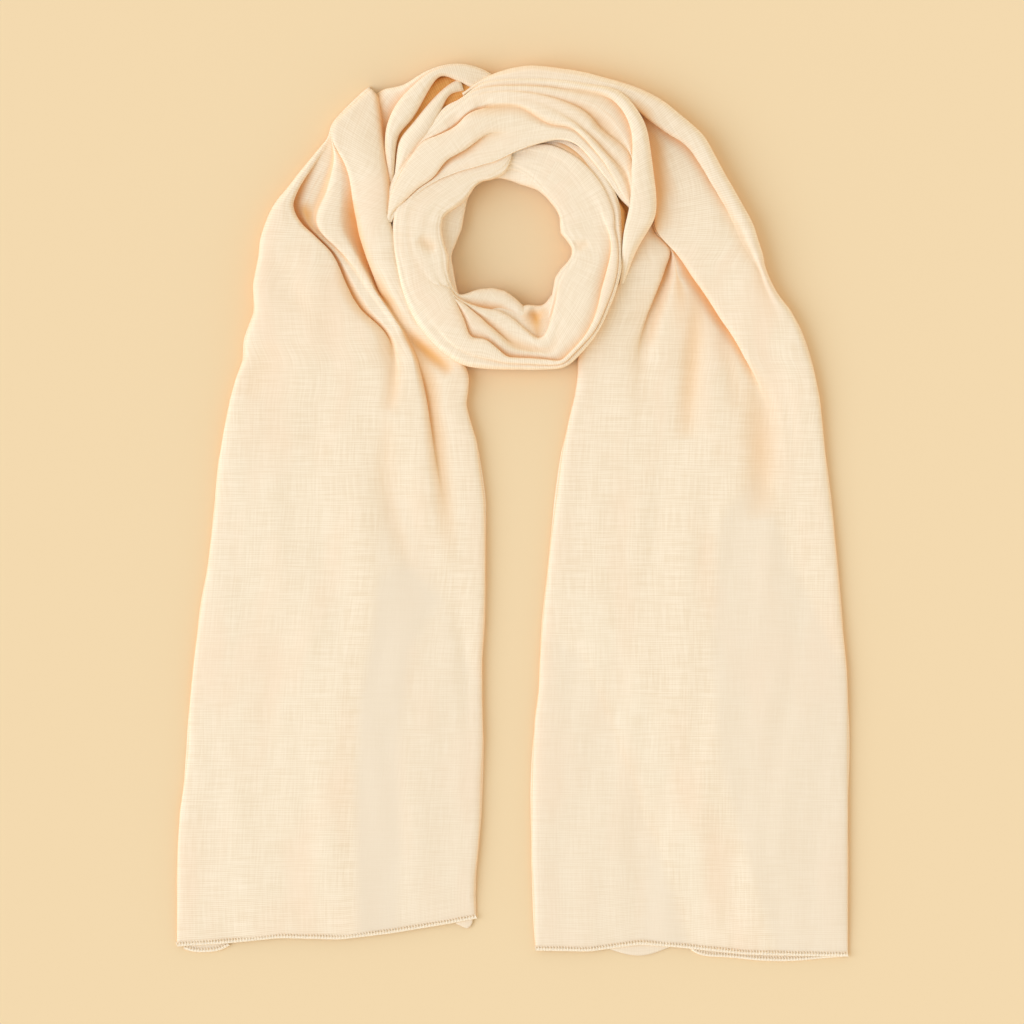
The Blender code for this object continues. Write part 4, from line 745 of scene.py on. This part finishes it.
def fold(line, before, after, low, high, valley, most_lap, depth):
    """Control points (reach, height, painted shade) of the fold between two panels of the widths before and
    after.
    """
    step = high - low
    rising = step > 0.0
    firm = firmness(step)
    narrow = np.minimum(before, after)
    lap = firm * np.minimum(most_lap, LAP_SHARE * narrow)
    soft = np.minimum(SOFT_REACH, SOFT_SHARE * narrow) * (1.0 - firm * np.minimum(most_lap / SOFT_REACH, 1.0))
    flank = FLANK_PLACE * soft
    turn = TURN_PLACE * soft

    # The covered panel sinks into the valley; the panel on top only rounds off.
    on_before = np.where(rising, firm, 0.0) + (1.0 - firm)
    on_after = np.where(rising, 0.0, firm) + (1.0 - firm)
    sunk_before, sunk_after = (depth * (TOP_SINK + (1.0 - TOP_SINK) * on) for on in (on_before, on_after))
    lead_before, lead_after = (
        np.minimum(LEAD + (valley - LEAD) * on, np.maximum(LEAD_SHARE * width - flank, LEAST_LEAD))
        for on, width in ((on_before, before), (on_after, after))
    )

    bottom = np.where(rising, line + lap, line - lap)
    inner_turn = np.where(rising, bottom, line) - turn
    outer_turn = np.where(rising, line, bottom) + turn
    lean = np.where(rising, LEAN, -LEAN) * lap
    low_rise = np.where(rising, FOOT_RISE, LIP_RISE) * step * firm
    high_rise = np.where(rising, LIP_RISE, FOOT_RISE) * step * firm
    soft_rise = LIP_RISE * step * (1.0 - firm)

    # Warm shade painted into the fold, strongest where the fold is firm or deep.
    shade = np.clip(np.minimum(firm * np.abs(step) / SHADE_STEP, STEP_SHADE) + depth / SHADE_DEPTH, 0.0, 1.0)
    least, growth, begin, over = SPREAD
    spread = least + growth * np.clip((depth - begin) / over, 0.0, 1.0)
    before_shade = shade * on_before
    after_shade = shade * on_after
    lip_shade = LIP_SHADE * shade * firm
    return [
        (line - lead_before - flank, low, 0.0 * shade),
        (line - 0.5 * lead_before - flank, low - LEAD_SINK * sunk_before, spread * before_shade),
        (line + lean - flank, low + low_rise + soft_rise - FLANK_SINK * sunk_before,
         FLANK_SHADE * before_shade + lip_shade),
        (inner_turn, low + TURN_RISE * step - sunk_before, before_shade),
        (0.5 * (inner_turn + outer_turn), low + 0.5 * step - 0.5 * (sunk_before + sunk_after), shade),
        (outer_turn, low + (1.0 - TURN_RISE) * step - sunk_after, after_shade),
        (line + lean + flank, high - high_rise - soft_rise - FLANK_SINK * sunk_after,
         FLANK_SHADE * after_shade + lip_shade),
        (line + 0.5 * lead_after + flank, high - LEAD_SINK * sunk_after, spread * after_shade),
        (line + lead_after + flank, high, 0.0 * shade),
    ]


def edge(line, way, foot, level, width):
    """Control points (reach, height, painted shade) of an edge, from under the cloth up and over on to it;
    its foot is painted in shade.
    """
    rise = level - foot
    round_off = np.minimum(EDGE_ROUND, np.minimum(ROUND_WIDTH * width, ROUND_RISE * rise))
    points = [(line + way * np.minimum(EDGE_TUCK, TUCK_WIDTH * width), foot, 1.0)]
    for inwards, upwards, shade in EDGE_PROFILE:
        points.append((line + way * inwards * round_off, foot + upwards * rise, shade))
    return points


def wandering(courses, short, short_start, long, long_start):
    """How far the edge of the layers under a tail stands out, for a wander of 1."""
    return WANDER_MEAN + np.sin(courses / short + short_start) * np.sin(courses / long + long_start)


def control_net(strip, courses, spacing, wander):
    """Control points of every row of a strip, as an array of rows by points by (reach, height, painted
    shade).
    """
    def along(at, values, width):
        return smoothed(np.interp(courses, at, values), spacing, width)

    def level_of(pairs):
        return along(*np.array(pairs, dtype=float).T, LEVEL_SMOOTH)

    lines = [along(*line_on_course(strip, drawn), LINE_SMOOTH) for drawn in strip.lines]
    lines[0] = lines[0] - wander * wandering(courses, *INNER_WANDER)
    lines[-1] = lines[-1] + wander * wandering(courses, *OUTER_WANDER)
    levels = [level_of(pairs) for pairs in strip.levels]
    foot_in, foot_out = (level_of(pairs) for pairs in strip.feet)
    widths = [np.maximum(b - a, LEAST_WIDTH) for a, b in zip(lines, lines[1:])]
    folds = [
        fold(lines[i + 1], widths[i], widths[i + 1], levels[i], levels[i + 1], valley, lap, level_of(depths))
        for i, (valley, lap, depths) in enumerate(strip.valleys)
    ]
    firm = [1.0, *(firmness(b - a) for a, b in zip(levels, levels[1:])), 1.0]

    points = edge(lines[0], 1.0, foot_in, levels[0], widths[0])
    outer = edge(lines[-1], -1.0, foot_out, levels[-1], widths[-1])
    for i, level in enumerate(levels):
        start = points[-1][0]
        end = folds[i][0][0] if i < len(folds) else outer[-1][0]
        room = np.maximum(end - start, 0.0)
        puff = np.minimum(firm[i], firm[i + 1]) * np.minimum(PUFF_MOST, PUFF_RATE * room)
        between = 0 < i < len(folds)
        # A panel between two folds takes the lesser of their painted shades.
        shade = np.minimum(folds[i - 1][LEAD_OUT][2], folds[i][LEAD_IN][2]) if between else 0.0
        points.append((0.5 * (start + end), level + puff, shade))
        if i < len(folds):
            points.extend(folds[i])
    points.extend(reversed(outer))
    return np.stack([np.stack(np.broadcast_arrays(*point), axis=-1) for point in points], axis=1)


def curve_across(net, spacing):
    """Points on smooth curves through the control points of every row, at least so close together."""
    spans = np.linalg.norm(np.diff(net[..., :2], axis=1), axis=2)
    parts = np.maximum(np.ceil(spans.mean(axis=0) / spacing), 1).astype(int)
    # Knots by the root of the distance keep a curve from swinging out at its tight turns.
    knots = np.maximum(spans, LEAST_SPAN) ** 0.5
    before = np.concatenate([knots[:, :1], knots], axis=1)[..., None]
    after = np.concatenate([knots, knots[:, -1:]], axis=1)[..., None]
    steps = np.diff(net, axis=1)
    step_before = np.concatenate([steps[:, :1], steps], axis=1)
    step_after = np.concatenate([steps, steps[:, -1:]], axis=1)
    slope = step_before / before - (step_before + step_after) / (before + after) + step_after / after
    columns = []
    for i, count in enumerate(parts):
        span = knots[:, i, None]
        for t in np.arange(count) / count:
            columns.append(
                (2 * t**3 - 3 * t**2 + 1) * net[:, i] + (t**3 - 2 * t**2 + t) * span * slope[:, i]
                + (3 * t**2 - 2 * t**3) * net[:, i + 1] + (t**3 - t**2) * span * slope[:, i + 1]
            )
    columns.append(net[:, -1])
    return np.stack(columns, axis=1)


def nearness(spots, drawn, width):
    """How near places lie to a drawn line: 1 on it, and less beyond its width and past its ends."""
    path = to_frame(drawn)
    lengths = np.linalg.norm(np.diff(path, axis=0), axis=1)
    starts = np.concatenate([[0.0], np.cumsum(lengths)])
    nearest = np.full(spots.shape[:-1], np.inf)
    share = np.zeros(spots.shape[:-1])
    for i, length in enumerate(lengths):
        way = (path[i + 1] - path[i]) / length
        offset = spots - path[i]
        run = np.clip(offset @ way, 0.0, length)
        gap = np.linalg.norm(offset - run[..., None] * way, axis=-1)
        closer = gap < nearest
        nearest = np.where(closer, gap, nearest)
        share = np.where(closer, (starts[i] + run) / starts[-1], share)
    return np.exp(-0.5 * (nearest / width) ** 2) * np.sin(np.pi * np.clip(share, 0.0, 1.0)) ** 0.5


def inside(spots, outline):
    """How far places lie inside an outline: 1 inside, 0 outside, with a soft edge."""
    corners = to_frame(outline)
    odd = np.zeros(spots.shape[:-1], dtype=bool)
    nearest = np.full(spots.shape[:-1], np.inf)
    for start, end in zip(corners, np.roll(corners, -1, axis=0)):
        crosses = (start[1] > spots[..., 1]) != (end[1] > spots[..., 1])
        rise = end[1] - start[1] if end[1] != start[1] else TINY
        left = spots[..., 0] < start[0] + (spots[..., 1] - start[1]) * (end[0] - start[0]) / rise
        odd ^= crosses & left
        way = end - start
        run = np.clip(((spots - start) @ way) / (way @ way), 0.0, 1.0)
        nearest = np.minimum(nearest, np.linalg.norm(spots - start - run[..., None] * way, axis=-1))
    return np.clip(0.5 + np.where(odd, 0.5, -0.5) * nearest / LAYER_EDGE, 0.0, 1.0)


def waves(name, spots, room):
    """Height of the soft waves at places, less near the edges."""
    height = np.zeros(room.shape)
    for number, (along, across, turn, rise) in enumerate(WAVES.get(name, ())):
        way = math.radians(turn)
        crossing = spots[..., 0] * math.cos(way) + spots[..., 1] * math.sin(way)
        running = spots[..., 1] * math.cos(way) - spots[..., 0] * math.sin(way)
        bend = WAVE_BEND * np.sin(2 * math.pi * running / along + WAVE_START * number)
        swell = WAVE_EVEN + (1.0 - WAVE_EVEN) * np.cos(2 * math.pi * running / (WAVE_SWELL * along))
        height += rise * np.sin(2 * math.pi * crossing / across + bend + number) * swell
    return height * np.clip(room / WAVE_FADE, 0.0, 1.0) ** 0.7


def strip_cloth(strip, name, wander=0.0):
    """The cloth of a strip, laid in its folds."""
    rows = int((strip.last - strip.first) / strip.spacing[0]) + 1
    courses = np.linspace(strip.first, strip.last, rows)
    spacing = courses[1] - courses[0]
    profile = curve_across(control_net(strip, courses, spacing, wander), strip.spacing[1])
    reach, height, shade = np.moveaxis(profile, -1, 0)
    shade = np.clip(shade, 0.0, 1.0)
    right, up = place(strip, courses[:, None], reach)
    drawn_end = HEM_LINES.get(name.removesuffix("_layers"))
    if drawn_end:
        lag = np.interp(right, *to_frame(drawn_end).T) - (PIVOT[1] + strip.first)
        fade = np.clip(1.0 - (courses - strip.first) / HEM_FADE, 0.0, 1.0) ** 2
        up = up + lag * fade[:, None]
    spots = np.stack([right, up], axis=-1)
    height = height + waves(name, spots, np.minimum(reach - reach[:, :1], reach[:, -1:] - reach))
    for crease in CREASES.get(name, ()):
        near = nearness(spots, crease.points, crease.width)
        height = height - crease.depth * near
        # A deep crease is painted in shade.
        shade = np.maximum(shade, near * np.clip(CREASE_PAINTED_SHADE * (crease.depth - CREASE_PLAIN), 0.0, 1.0))
    # Pockets deep between the cloth are painted in shade.
    for outline, strength in SHADE_PAINTED_POCKETS.get(name, ()):
        shade = np.maximum(shade, strength * inside(spots, outline))
    layers = np.zeros(height.shape)
    for outline, strength in LAYERS.get(name, ()):
        layers = layers + strength * inside(spots, outline)
    spans = np.linalg.norm(np.diff(profile[..., :2], axis=1), axis=2)
    across = np.concatenate([np.zeros((rows, 1)), np.cumsum(spans, axis=1)], axis=1)
    across -= across[:, -1:] / 2
    if not strip.side:
        # A loop's threads are spread most at its outer edge, where their spacing is the true one.
        courses = courses * math.radians(1.0) * reach[:, -1].mean() / LOOP_LENGTH
    return Cloth(np.stack([right, up, height], axis=-1), courses, across, shade, layers)


# ------------------------------------------------------------------------------------------------ modelling
def select_only(piece):
    bpy.ops.object.select_all(action="DESELECT")
    piece.select_set(True)
    bpy.context.view_layer.objects.active = piece


def link_object(name, data):
    """Put a new object into the scene."""
    piece = bpy.data.objects.new(name, data)
    bpy.context.scene.collection.objects.link(piece)
    return piece


def apply_modifier(piece, kind, **settings):
    """Add a modifier with these settings and apply it."""
    select_only(piece)
    modifier = piece.modifiers.new(kind.lower(), kind)
    for key, value in settings.items():
        setattr(modifier, key, value)
    bpy.ops.object.modifier_apply(modifier=modifier.name)


def grid_piece(name, cloth):
    """A sheet made from a plane grid, its points moved to their places.

    Its UV map is the flat cloth, in metres. Its attribute "fold" holds the shade painted into folds, creases,
    pockets and the feet of edges, and its attribute "layers" how many layers more or fewer lie under it.
    """
    rows, columns = cloth.points.shape[:2]
    bpy.ops.object.select_all(action="DESELECT")
    bpy.ops.mesh.primitive_grid_add(x_subdivisions=columns - 1, y_subdivisions=rows - 1, size=1.0)
    piece = bpy.context.object
    piece.name = name
    piece.data.name = name
    piece.data.vertices.foreach_set("co", (cloth.points.reshape(-1, 3) * MM).ravel())
    courses = np.broadcast_to(cloth.courses[:, None], cloth.across.shape)
    flat = np.stack([cloth.across, courses], axis=-1).reshape(-1, 2) * MM
    corners = np.empty(len(piece.data.loops), dtype=np.int32)
    piece.data.loops.foreach_get("vertex_index", corners)
    piece.data.uv_layers.active.name = "cloth"
    piece.data.uv_layers.active.data.foreach_set("uv", flat[corners].ravel())
    for key, values in (("fold", cloth.shade), ("layers", cloth.layers)):
        attribute = piece.data.attributes.new(key, "FLOAT", "POINT")
        attribute.data.foreach_set("value", values.astype(np.float32).ravel())
    piece.data.update()
    select_only(piece)
    bpy.ops.object.shade_smooth()
    return piece


def declare(piece, replaces):
    """Attach the piece to the root, and hide the nodes that it stands for."""
    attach(piece, "root")
    if replaces:
        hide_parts(*replaces)


# ------------------------------------------------------------------------------------------------ materials
def node(tree, kind, settings=(), **inputs):
    """Add a node; settings are its properties, inputs are values or sockets, _6 for the input of index 6."""
    new = tree.nodes.new(kind)
    for key, value in dict(settings).items():
        setattr(new, key, value)
    for key, value in inputs.items():
        name = int(key[1:]) if key[0] == "_" and key[1:].isdigit() else key.replace("_", " ")
        socket = new.inputs[name]
        if isinstance(value, bpy.types.NodeSocket):
            tree.links.new(value, socket)
        else:
            socket.default_value = value
    return new


def begin_material(name, roughness, specular):
    """A new material, and its shader with these values."""
    material = bpy.data.materials.new(name)
    material.use_nodes = True
    shader = material.node_tree.nodes["Principled BSDF"]
    shader.inputs["Roughness"].default_value = roughness
    shader.inputs["Specular IOR Level"].default_value = specular
    return material, shader


def voile_material(name, colours, thread):
    """Plain-woven cotton voile: cream, matt, slightly sheer, uneven in its weave, with warm shade painted
    into its folds.

    The colours are those of threads, gaps, the shade painted deep in folds, and warm patches. Voile's own
    threads lie about 0.3 mm apart, too fine to show, so they are drawn as far apart as the setting says.
    """
    material = bpy.data.materials.get(name)
    if material:
        return material
    threads_colour, gaps_colour, painted_shade_colour, patch_colour = map(linear, colours)
    material, shader = begin_material(name, 0.9, 0.1)
    tree = material.node_tree
    mixed = {"data_type": "RGBA"}
    times = {"operation": "MULTIPLY", "use_clamp": True}
    flat = node(tree, "ShaderNodeTexCoord").outputs["UV"]

    # Slubs both ways of the weave, and rows of threads. At scale 1 the bands lie pi / 10 metres apart.
    slubs = []
    for stretch in ((SLUB_STRETCH, 1.0, 1.0), (1.0, SLUB_STRETCH, 1.0)):
        spot = node(tree, "ShaderNodeMapping", Vector=flat, Scale=stretch).outputs["Vector"]
        slubs.append(node(tree, "ShaderNodeTexNoise", Vector=spot, Scale=SLUBS / thread, Detail=1.0,
                          Roughness=0.5).outputs["Fac"])
    crossed = node(tree, "ShaderNodeMath", {"operation": "ADD"}, _0=slubs[0], _1=slubs[1]).outputs[0]
    rows = node(tree, "ShaderNodeTexWave", {"wave_type": "BANDS", "bands_direction": "Y"}, Vector=flat,
                Scale=math.pi / (10.0 * thread), Distortion=2.5, Detail=1.0, Detail_Scale=0.15).outputs["Fac"]
    weave = node(tree, "ShaderNodeMath", {"operation": "MULTIPLY_ADD"}, _0=rows, _1=THREAD_SHARE,
                 _2=crossed).outputs[0]
    tint = node(tree, "ShaderNodeMapRange", Value=weave, From_Min=THREAD_RANGE[0],
                From_Max=THREAD_RANGE[1]).outputs["Result"]
    colour = node(tree, "ShaderNodeMix", mixed, Factor=tint, _6=gaps_colour, _7=threads_colour).outputs[2]

    # Broad warm patches, where the layers below lie closer.
    spot = node(tree, "ShaderNodeMapping", Vector=flat, Scale=PATCH_STRETCH).outputs["Vector"]
    cloudy = node(tree, "ShaderNodeTexNoise", Vector=spot, Scale=PATCHES, Detail=2.0).outputs["Fac"]
    patch = node(tree, "ShaderNodeMapRange", Value=cloudy, From_Min=PATCH_RANGE[0], From_Max=PATCH_RANGE[1],
                 To_Max=PATCH_MOST).outputs["Result"]
    colour = node(tree, "ShaderNodeMix", mixed, Factor=patch, _6=colour, _7=patch_colour).outputs[2]

    # Greyer over few layers, paler over many, and painted warm shade deep in a fold.
    layers = node(tree, "ShaderNodeAttribute", {"attribute_name": "layers"}).outputs["Fac"]
    deep = node(tree, "ShaderNodeAttribute", {"attribute_name": "fold"}).outputs["Fac"]
    thin = node(tree, "ShaderNodeMath", times, _0=layers, _1=-1.0).outputs[0]
    dense = node(tree, "ShaderNodeMath", times, _0=layers, _1=DENSE_SHARE).outputs[0]
    for share, tone in ((thin, linear(THIN_VOILE)), (dense, linear(DENSE_VOILE)), (deep, painted_shade_colour)):
        colour = node(tree, "ShaderNodeMix", mixed, Factor=share, _6=colour, _7=tone).outputs[2]
    tree.links.new(colour, shader.inputs["Base Color"])
    bump = node(tree, "ShaderNodeBump", Height=weave, Strength=0.2, Distance=THREAD_RELIEF)
    tree.links.new(bump.outputs["Normal"], shader.inputs["Normal"])
    return material


def voile(settings):
    """The cloth on top: pale threads, and warm shade painted into its folds."""
    return voile_material("cotton_voile", (settings.voile, "F1DCBC", "EFB670", "FADDBD"), settings.thread_gap)


def shade_painted_voile(settings):
    """Voile deep in the heap, painted in dark orange shade, as the light that comes to it through the cloth
    is orange.
    """
    # Painted shade: darker oranges than the cloth on top.
    colours = ("F0B56E", "E2A157", "DC9450", "E2A157")
    return voile_material("shade_painted_cotton_voile", colours, settings.thread_gap)


def rolled_voile(settings):
    """Voile rolled into a hem: many layers on each other, so the palest of all."""
    colours = ("FFF2DC", "F8E6C8", "F8E6C8", "FFF2DC")
    return voile_material("rolled_cotton_voile", colours, settings.thread_gap)


def sewing_thread():
    """Spun cotton thread of the overlock seams: matt, denser than voile, with pale flecks of its fibres."""
    material = bpy.data.materials.get("cotton_thread")
    if material:
        return material
    material, shader = begin_material("cotton_thread", 0.85, 0.2)
    tree = material.node_tree
    place_on = node(tree, "ShaderNodeTexCoord").outputs["Object"]
    fibres = node(tree, "ShaderNodeTexNoise", Vector=place_on, Scale=FLECKS, Detail=1.0).outputs["Fac"]
    colour = node(tree, "ShaderNodeMix", {"data_type": "RGBA"}, Factor=fibres, _6=linear("F1DBBA"),
                  _7=linear("FDF0DA")).outputs[2]
    tree.links.new(colour, shader.inputs["Base Color"])
    return material


def matt_paper(settings):
    """Uncoated paper: one even, warm tone that takes soft shadows and never shines."""
    material, shader = begin_material("matt_paper", 1.0, 0.0)
    shader.inputs["Base Color"].default_value = linear(settings.floor)
    return material


def add_sheet(name, cloth, material, settings, replaces=()):
    """A thin shell of cloth."""
    piece = grid_piece(name, cloth)
    apply_modifier(piece, "SOLIDIFY", thickness=settings.wall, offset=0.0, use_rim=True)
    piece.data.materials.clear()
    piece.data.materials.append(material)
    declare(piece, replaces)


def add_strip(name, settings):
    """A strip of the cloth on top, for the node of its name."""
    cloth = strip_cloth(STRIPS[name], name)
    add_sheet(name + "_cloth", cloth, voile(settings), settings, (name,))


def add_under_tail(name, settings):
    """The layer that shows at the edges of a tail, and stands for all its layers."""
    tail = STRIPS[name]
    under = tail._replace(last=min(tail.last, UNDER_LAST), lines=(tail.lines[0], tail.lines[-1]),
                          levels=(UNDER_LEVELS,), valleys=(), feet=(UNDER_FEET,) * 2, spacing=UNDER_SPACING)
    layers = name + "_layers"
    cloth = strip_cloth(under, layers, WANDER)
    add_sheet(layers + "_cloth", cloth, voile(settings), settings, replaces=(layers,))


class LONGSCARF_OT_tails(bpy.types.Operator):
    """Model the two broad tails and the layers that show at their edges"""
    bl_idname = "longscarf.tails"
    bl_label = "Tails"

    def execute(self, context):
        settings = context.scene.long_scarf
        for name in ("left_tail", "right_tail"):
            add_under_tail(name, settings)
            add_strip(name, settings)
        return {"FINISHED"}


class LONGSCARF_OT_loop(bpy.types.Operator):
    """Model the loop, the band over it, the leaves at its top and the cloth under them"""
    bl_idname = "longscarf.loop"
    bl_label = "Loop"

    def execute(self, context):
        settings = context.scene.long_scarf
        heap = strip_cloth(HEAP, "loop_layers")
        add_sheet("loop_layers_cloth", heap, shade_painted_voile(settings), settings,
                  replaces=("loop_layers",))
        under = strip_cloth(UNDER_LOOP, "under_loop")
        add_sheet("under_loop_cloth", under, voile(settings), settings)
        for name in ("inner_loop", "band", "outer_leaf", "inner_leaf"):
            add_strip(name, settings)
        return {"FINISHED"}


# ------------------------------------------------------------------------------------------------ hems
def seam_path(name, cloth_edge, first, last):
    """Places along an edge of a strip's cloth, in millimetres."""
    strip = STRIPS[name]
    courses = np.linspace(first, last, max(2, int((last - first) / strip.spacing[0])))
    net = control_net(strip, courses, courses[1] - courses[0], 0.0)
    right, up = place(strip, courses, net[:, cloth_edge, 0])
    return np.stack([right, up, net[:, cloth_edge, 1]], axis=1)


def hem_path(drawn, height):
    """Places along a hem that is drawn on the grid, in millimetres."""
    return np.column_stack([to_frame(drawn), np.full(len(drawn), height)])


def even_path(drawn, gap):
    """Places at even distances along a smooth line in millimetres, and its directions."""
    run = np.concatenate([[0.0], np.cumsum(np.linalg.norm(np.diff(drawn, axis=0), axis=1))])
    at = np.linspace(0.0, run[-1], max(2, int(run[-1] / gap) + 1))
    fine = np.stack([smoothed(np.interp(at, run, column), at[1], ROLL_SMOOTH) for column in drawn.T], axis=1)
    way = np.gradient(fine, axis=0)
    way /= np.linalg.norm(way, axis=1)[:, None]
    return fine, way


def make_tube(name, path, radius, sides):
    """A closed tube along points in millimetres, with an even number of sides from 4 on."""
    curve = bpy.data.curves.new(name, "CURVE")
    curve.dimensions = "3D"
    curve.bevel_depth = radius * MM
    curve.bevel_resolution = max(0, sides // 2 - 2)
    curve.use_fill_caps = True
    spline = curve.splines.new("POLY")
    spline.points.add(len(path) - 1)
    for point, spot in zip(spline.points, path):
        point.co = (*(spot * MM), 1.0)
    select_only(link_object(name, curve))
    bpy.ops.object.convert(target="MESH")
    bpy.ops.object.shade_smooth()
    return bpy.context.object


def add_hem(name, path, settings, replaces=(), scale=1.0):
    """A narrow rolled hem with overlock stitches over it, along places in millimetres."""
    roll = make_tube(name, even_path(path, ROLL_STEP)[0], HEM_RADIUS * scale, ROLL_SIDES)
    roll.data.materials.append(rolled_voile(settings))
    stitch = make_tube(name + "_stitch", np.array(STITCH) * scale, STITCH_RADIUS * scale,
                       settings.stitch_sides)
    stitch.data.materials.append(sewing_thread())
    copies = []
    for spot, way in zip(*even_path(path, settings.stitch_gap / MM)):
        copy = link_object("stitch", stitch.data.copy())
        turn = Matrix.Rotation(math.atan2(way[1], way[0]), 4, "Z")
        copy.data.transform(Matrix.Translation(spot * MM) @ turn)
        copies.append(copy)
    bpy.data.objects.remove(stitch)
    select_only(roll)
    for copy in copies:
        copy.select_set(True)
    bpy.ops.object.join()
    declare(roll, replaces)


def add_under_hem(name, drawn, height, settings, stitched, replaces=()):
    """The end of a lower layer that shows below a tail's hem."""
    path = hem_path(drawn, height)
    fine, _ = even_path(path, ROLL_STEP)
    share = np.linspace(0.0, 1.0, UNDER_HEM_POINTS)
    inwards = UNDER_HEM_DEPTH * share
    arch = UNDER_HEM_ARCH * np.sin(np.pi * share)
    points = fine[:, None, :] + np.stack([0.0 * share, inwards, arch], axis=1)
    plain = np.zeros(points.shape[:2])
    across = np.broadcast_to(inwards, plain.shape)
    cloth = Cloth(points, fine[:, 0], across, plain, plain + UNDER_HEM_LAYERS)
    add_sheet(name + "_cloth", cloth, voile(settings), settings, replaces=replaces)
    if stitched:
        add_hem(name + "_roll", path, settings)


class LONGSCARF_OT_hems(bpy.types.Operator):
    """Model the rolled hems with their stitches, the ends of the lower layers and the fine seams"""
    bl_idname = "longscarf.hems"
    bl_label = "Hems"

    def execute(self, context):
        settings = context.scene.long_scarf
        for name, drawn in HEMS.items():
            add_hem(name + "_roll", hem_path(drawn, HEM_HEIGHT), settings, (name,))
        for name, (drawn, stitched) in UNDER_HEMS.items():
            add_under_hem(name, drawn, UNDER_HEM_HEIGHT, settings, stitched, (name,))
        add_under_hem("left_corner", CORNER, CORNER_HEIGHT, settings, False)
        for name, seam in SEAMS.items():
            add_hem(name, seam_path(*seam), settings, scale=SEAM_SCALE)
        return {"FINISHED"}


# ------------------------------------------------------------------------------------------------ stage
def light_sky(scene, settings):
    """A soft warm light from all round, strongest near the horizon."""
    world = bpy.data.worlds.new("studio")
    scene.world = world
    world.use_nodes = True
    tree = world.node_tree
    background = tree.nodes["Background"]
    background.inputs["Color"].default_value = SKY_COLOUR
    way = node(tree, "ShaderNodeTexCoord").outputs["Generated"]
    height = node(tree, "ShaderNodeSeparateXYZ", Vector=way).outputs["Z"]
    strength = node(tree, "ShaderNodeMapRange", Value=height, To_Min=SKY_LOW * settings.sky,
                    To_Max=SKY_HIGH * settings.sky)
    tree.links.new(strength.outputs["Result"], background.inputs["Strength"])


def hang_lamp(settings):
    """A broad, slightly cool light from the left."""
    lamp = bpy.data.lights.new("soft_lamp", "SUN")
    lamp.energy = settings.lamp_power
    lamp.color = LAMP_COLOUR
    lamp.angle = LAMP_ANGLE
    holder = link_object("soft_lamp", lamp)
    holder.location = LAMP_PLACE
    holder.rotation_euler = (-holder.location).to_track_quat("-Z", "Y").to_euler()


def place_camera(scene):
    """A camera that looks straight down, with the grid filling its view."""
    camera = bpy.data.cameras.new("camera")
    camera.sensor_width = SENSOR
    camera.lens = SENSOR * (CAMERA_HEIGHT - TRUE_HEIGHT) / (VIEW_SQUARES * SQUARE * MM)
    camera.clip_end = VIEW_END
    eye = link_object("camera", camera)
    eye.location = (*(to_frame(VIEW_SQUARE) * MM), CAMERA_HEIGHT)
    scene.camera = eye


class LONGSCARF_OT_stage(bpy.types.Operator):
    """Set the surface, the soft lamp and the camera above the scarf"""
    bl_idname = "longscarf.stage"
    bl_label = "Stage"

    def execute(self, context):
        settings = context.scene.long_scarf
        bpy.ops.object.select_all(action="DESELECT")
        bpy.ops.mesh.primitive_plane_add(size=SURFACE_SIZE, location=(0.0, 0.0, 0.0))
        surface = bpy.context.object
        surface.name = "surface"
        surface.data.materials.append(matt_paper(settings))
        light_sky(context.scene, settings)
        hang_lamp(settings)
        place_camera(context.scene)
        context.scene.view_settings.view_transform = "Standard"
        return {"FINISHED"}


# ------------------------------------------------------------------------------------------------ add-on
OPERATORS = (LONGSCARF_OT_tails, LONGSCARF_OT_loop, LONGSCARF_OT_hems, LONGSCARF_OT_stage)


class LONGSCARF_PT_panel(bpy.types.Panel):
    """The operators that model the scarf, in order"""
    bl_label = "Long Scarf"
    bl_idname = "LONGSCARF_PT_panel"
    bl_space_type = "VIEW_3D"
    bl_region_type = "UI"
    bl_category = "Long Scarf"

    def draw(self, context):
        for operator in OPERATORS:
            self.layout.operator(operator.bl_idname)


CLASSES = (LongScarfSettings, *OPERATORS, LONGSCARF_PT_panel)


def register():
    for item in CLASSES:
        bpy.utils.register_class(item)
    bpy.types.Scene.long_scarf = PointerProperty(type=LongScarfSettings)


def unregister():
    del bpy.types.Scene.long_scarf
    for item in reversed(CLASSES):
        bpy.utils.unregister_class(item)


def main():
    register()
    bpy.ops.longscarf.tails()
    bpy.ops.longscarf.loop()
    bpy.ops.longscarf.hems()
    bpy.ops.longscarf.stage()


if __name__ == "__main__":
    main()
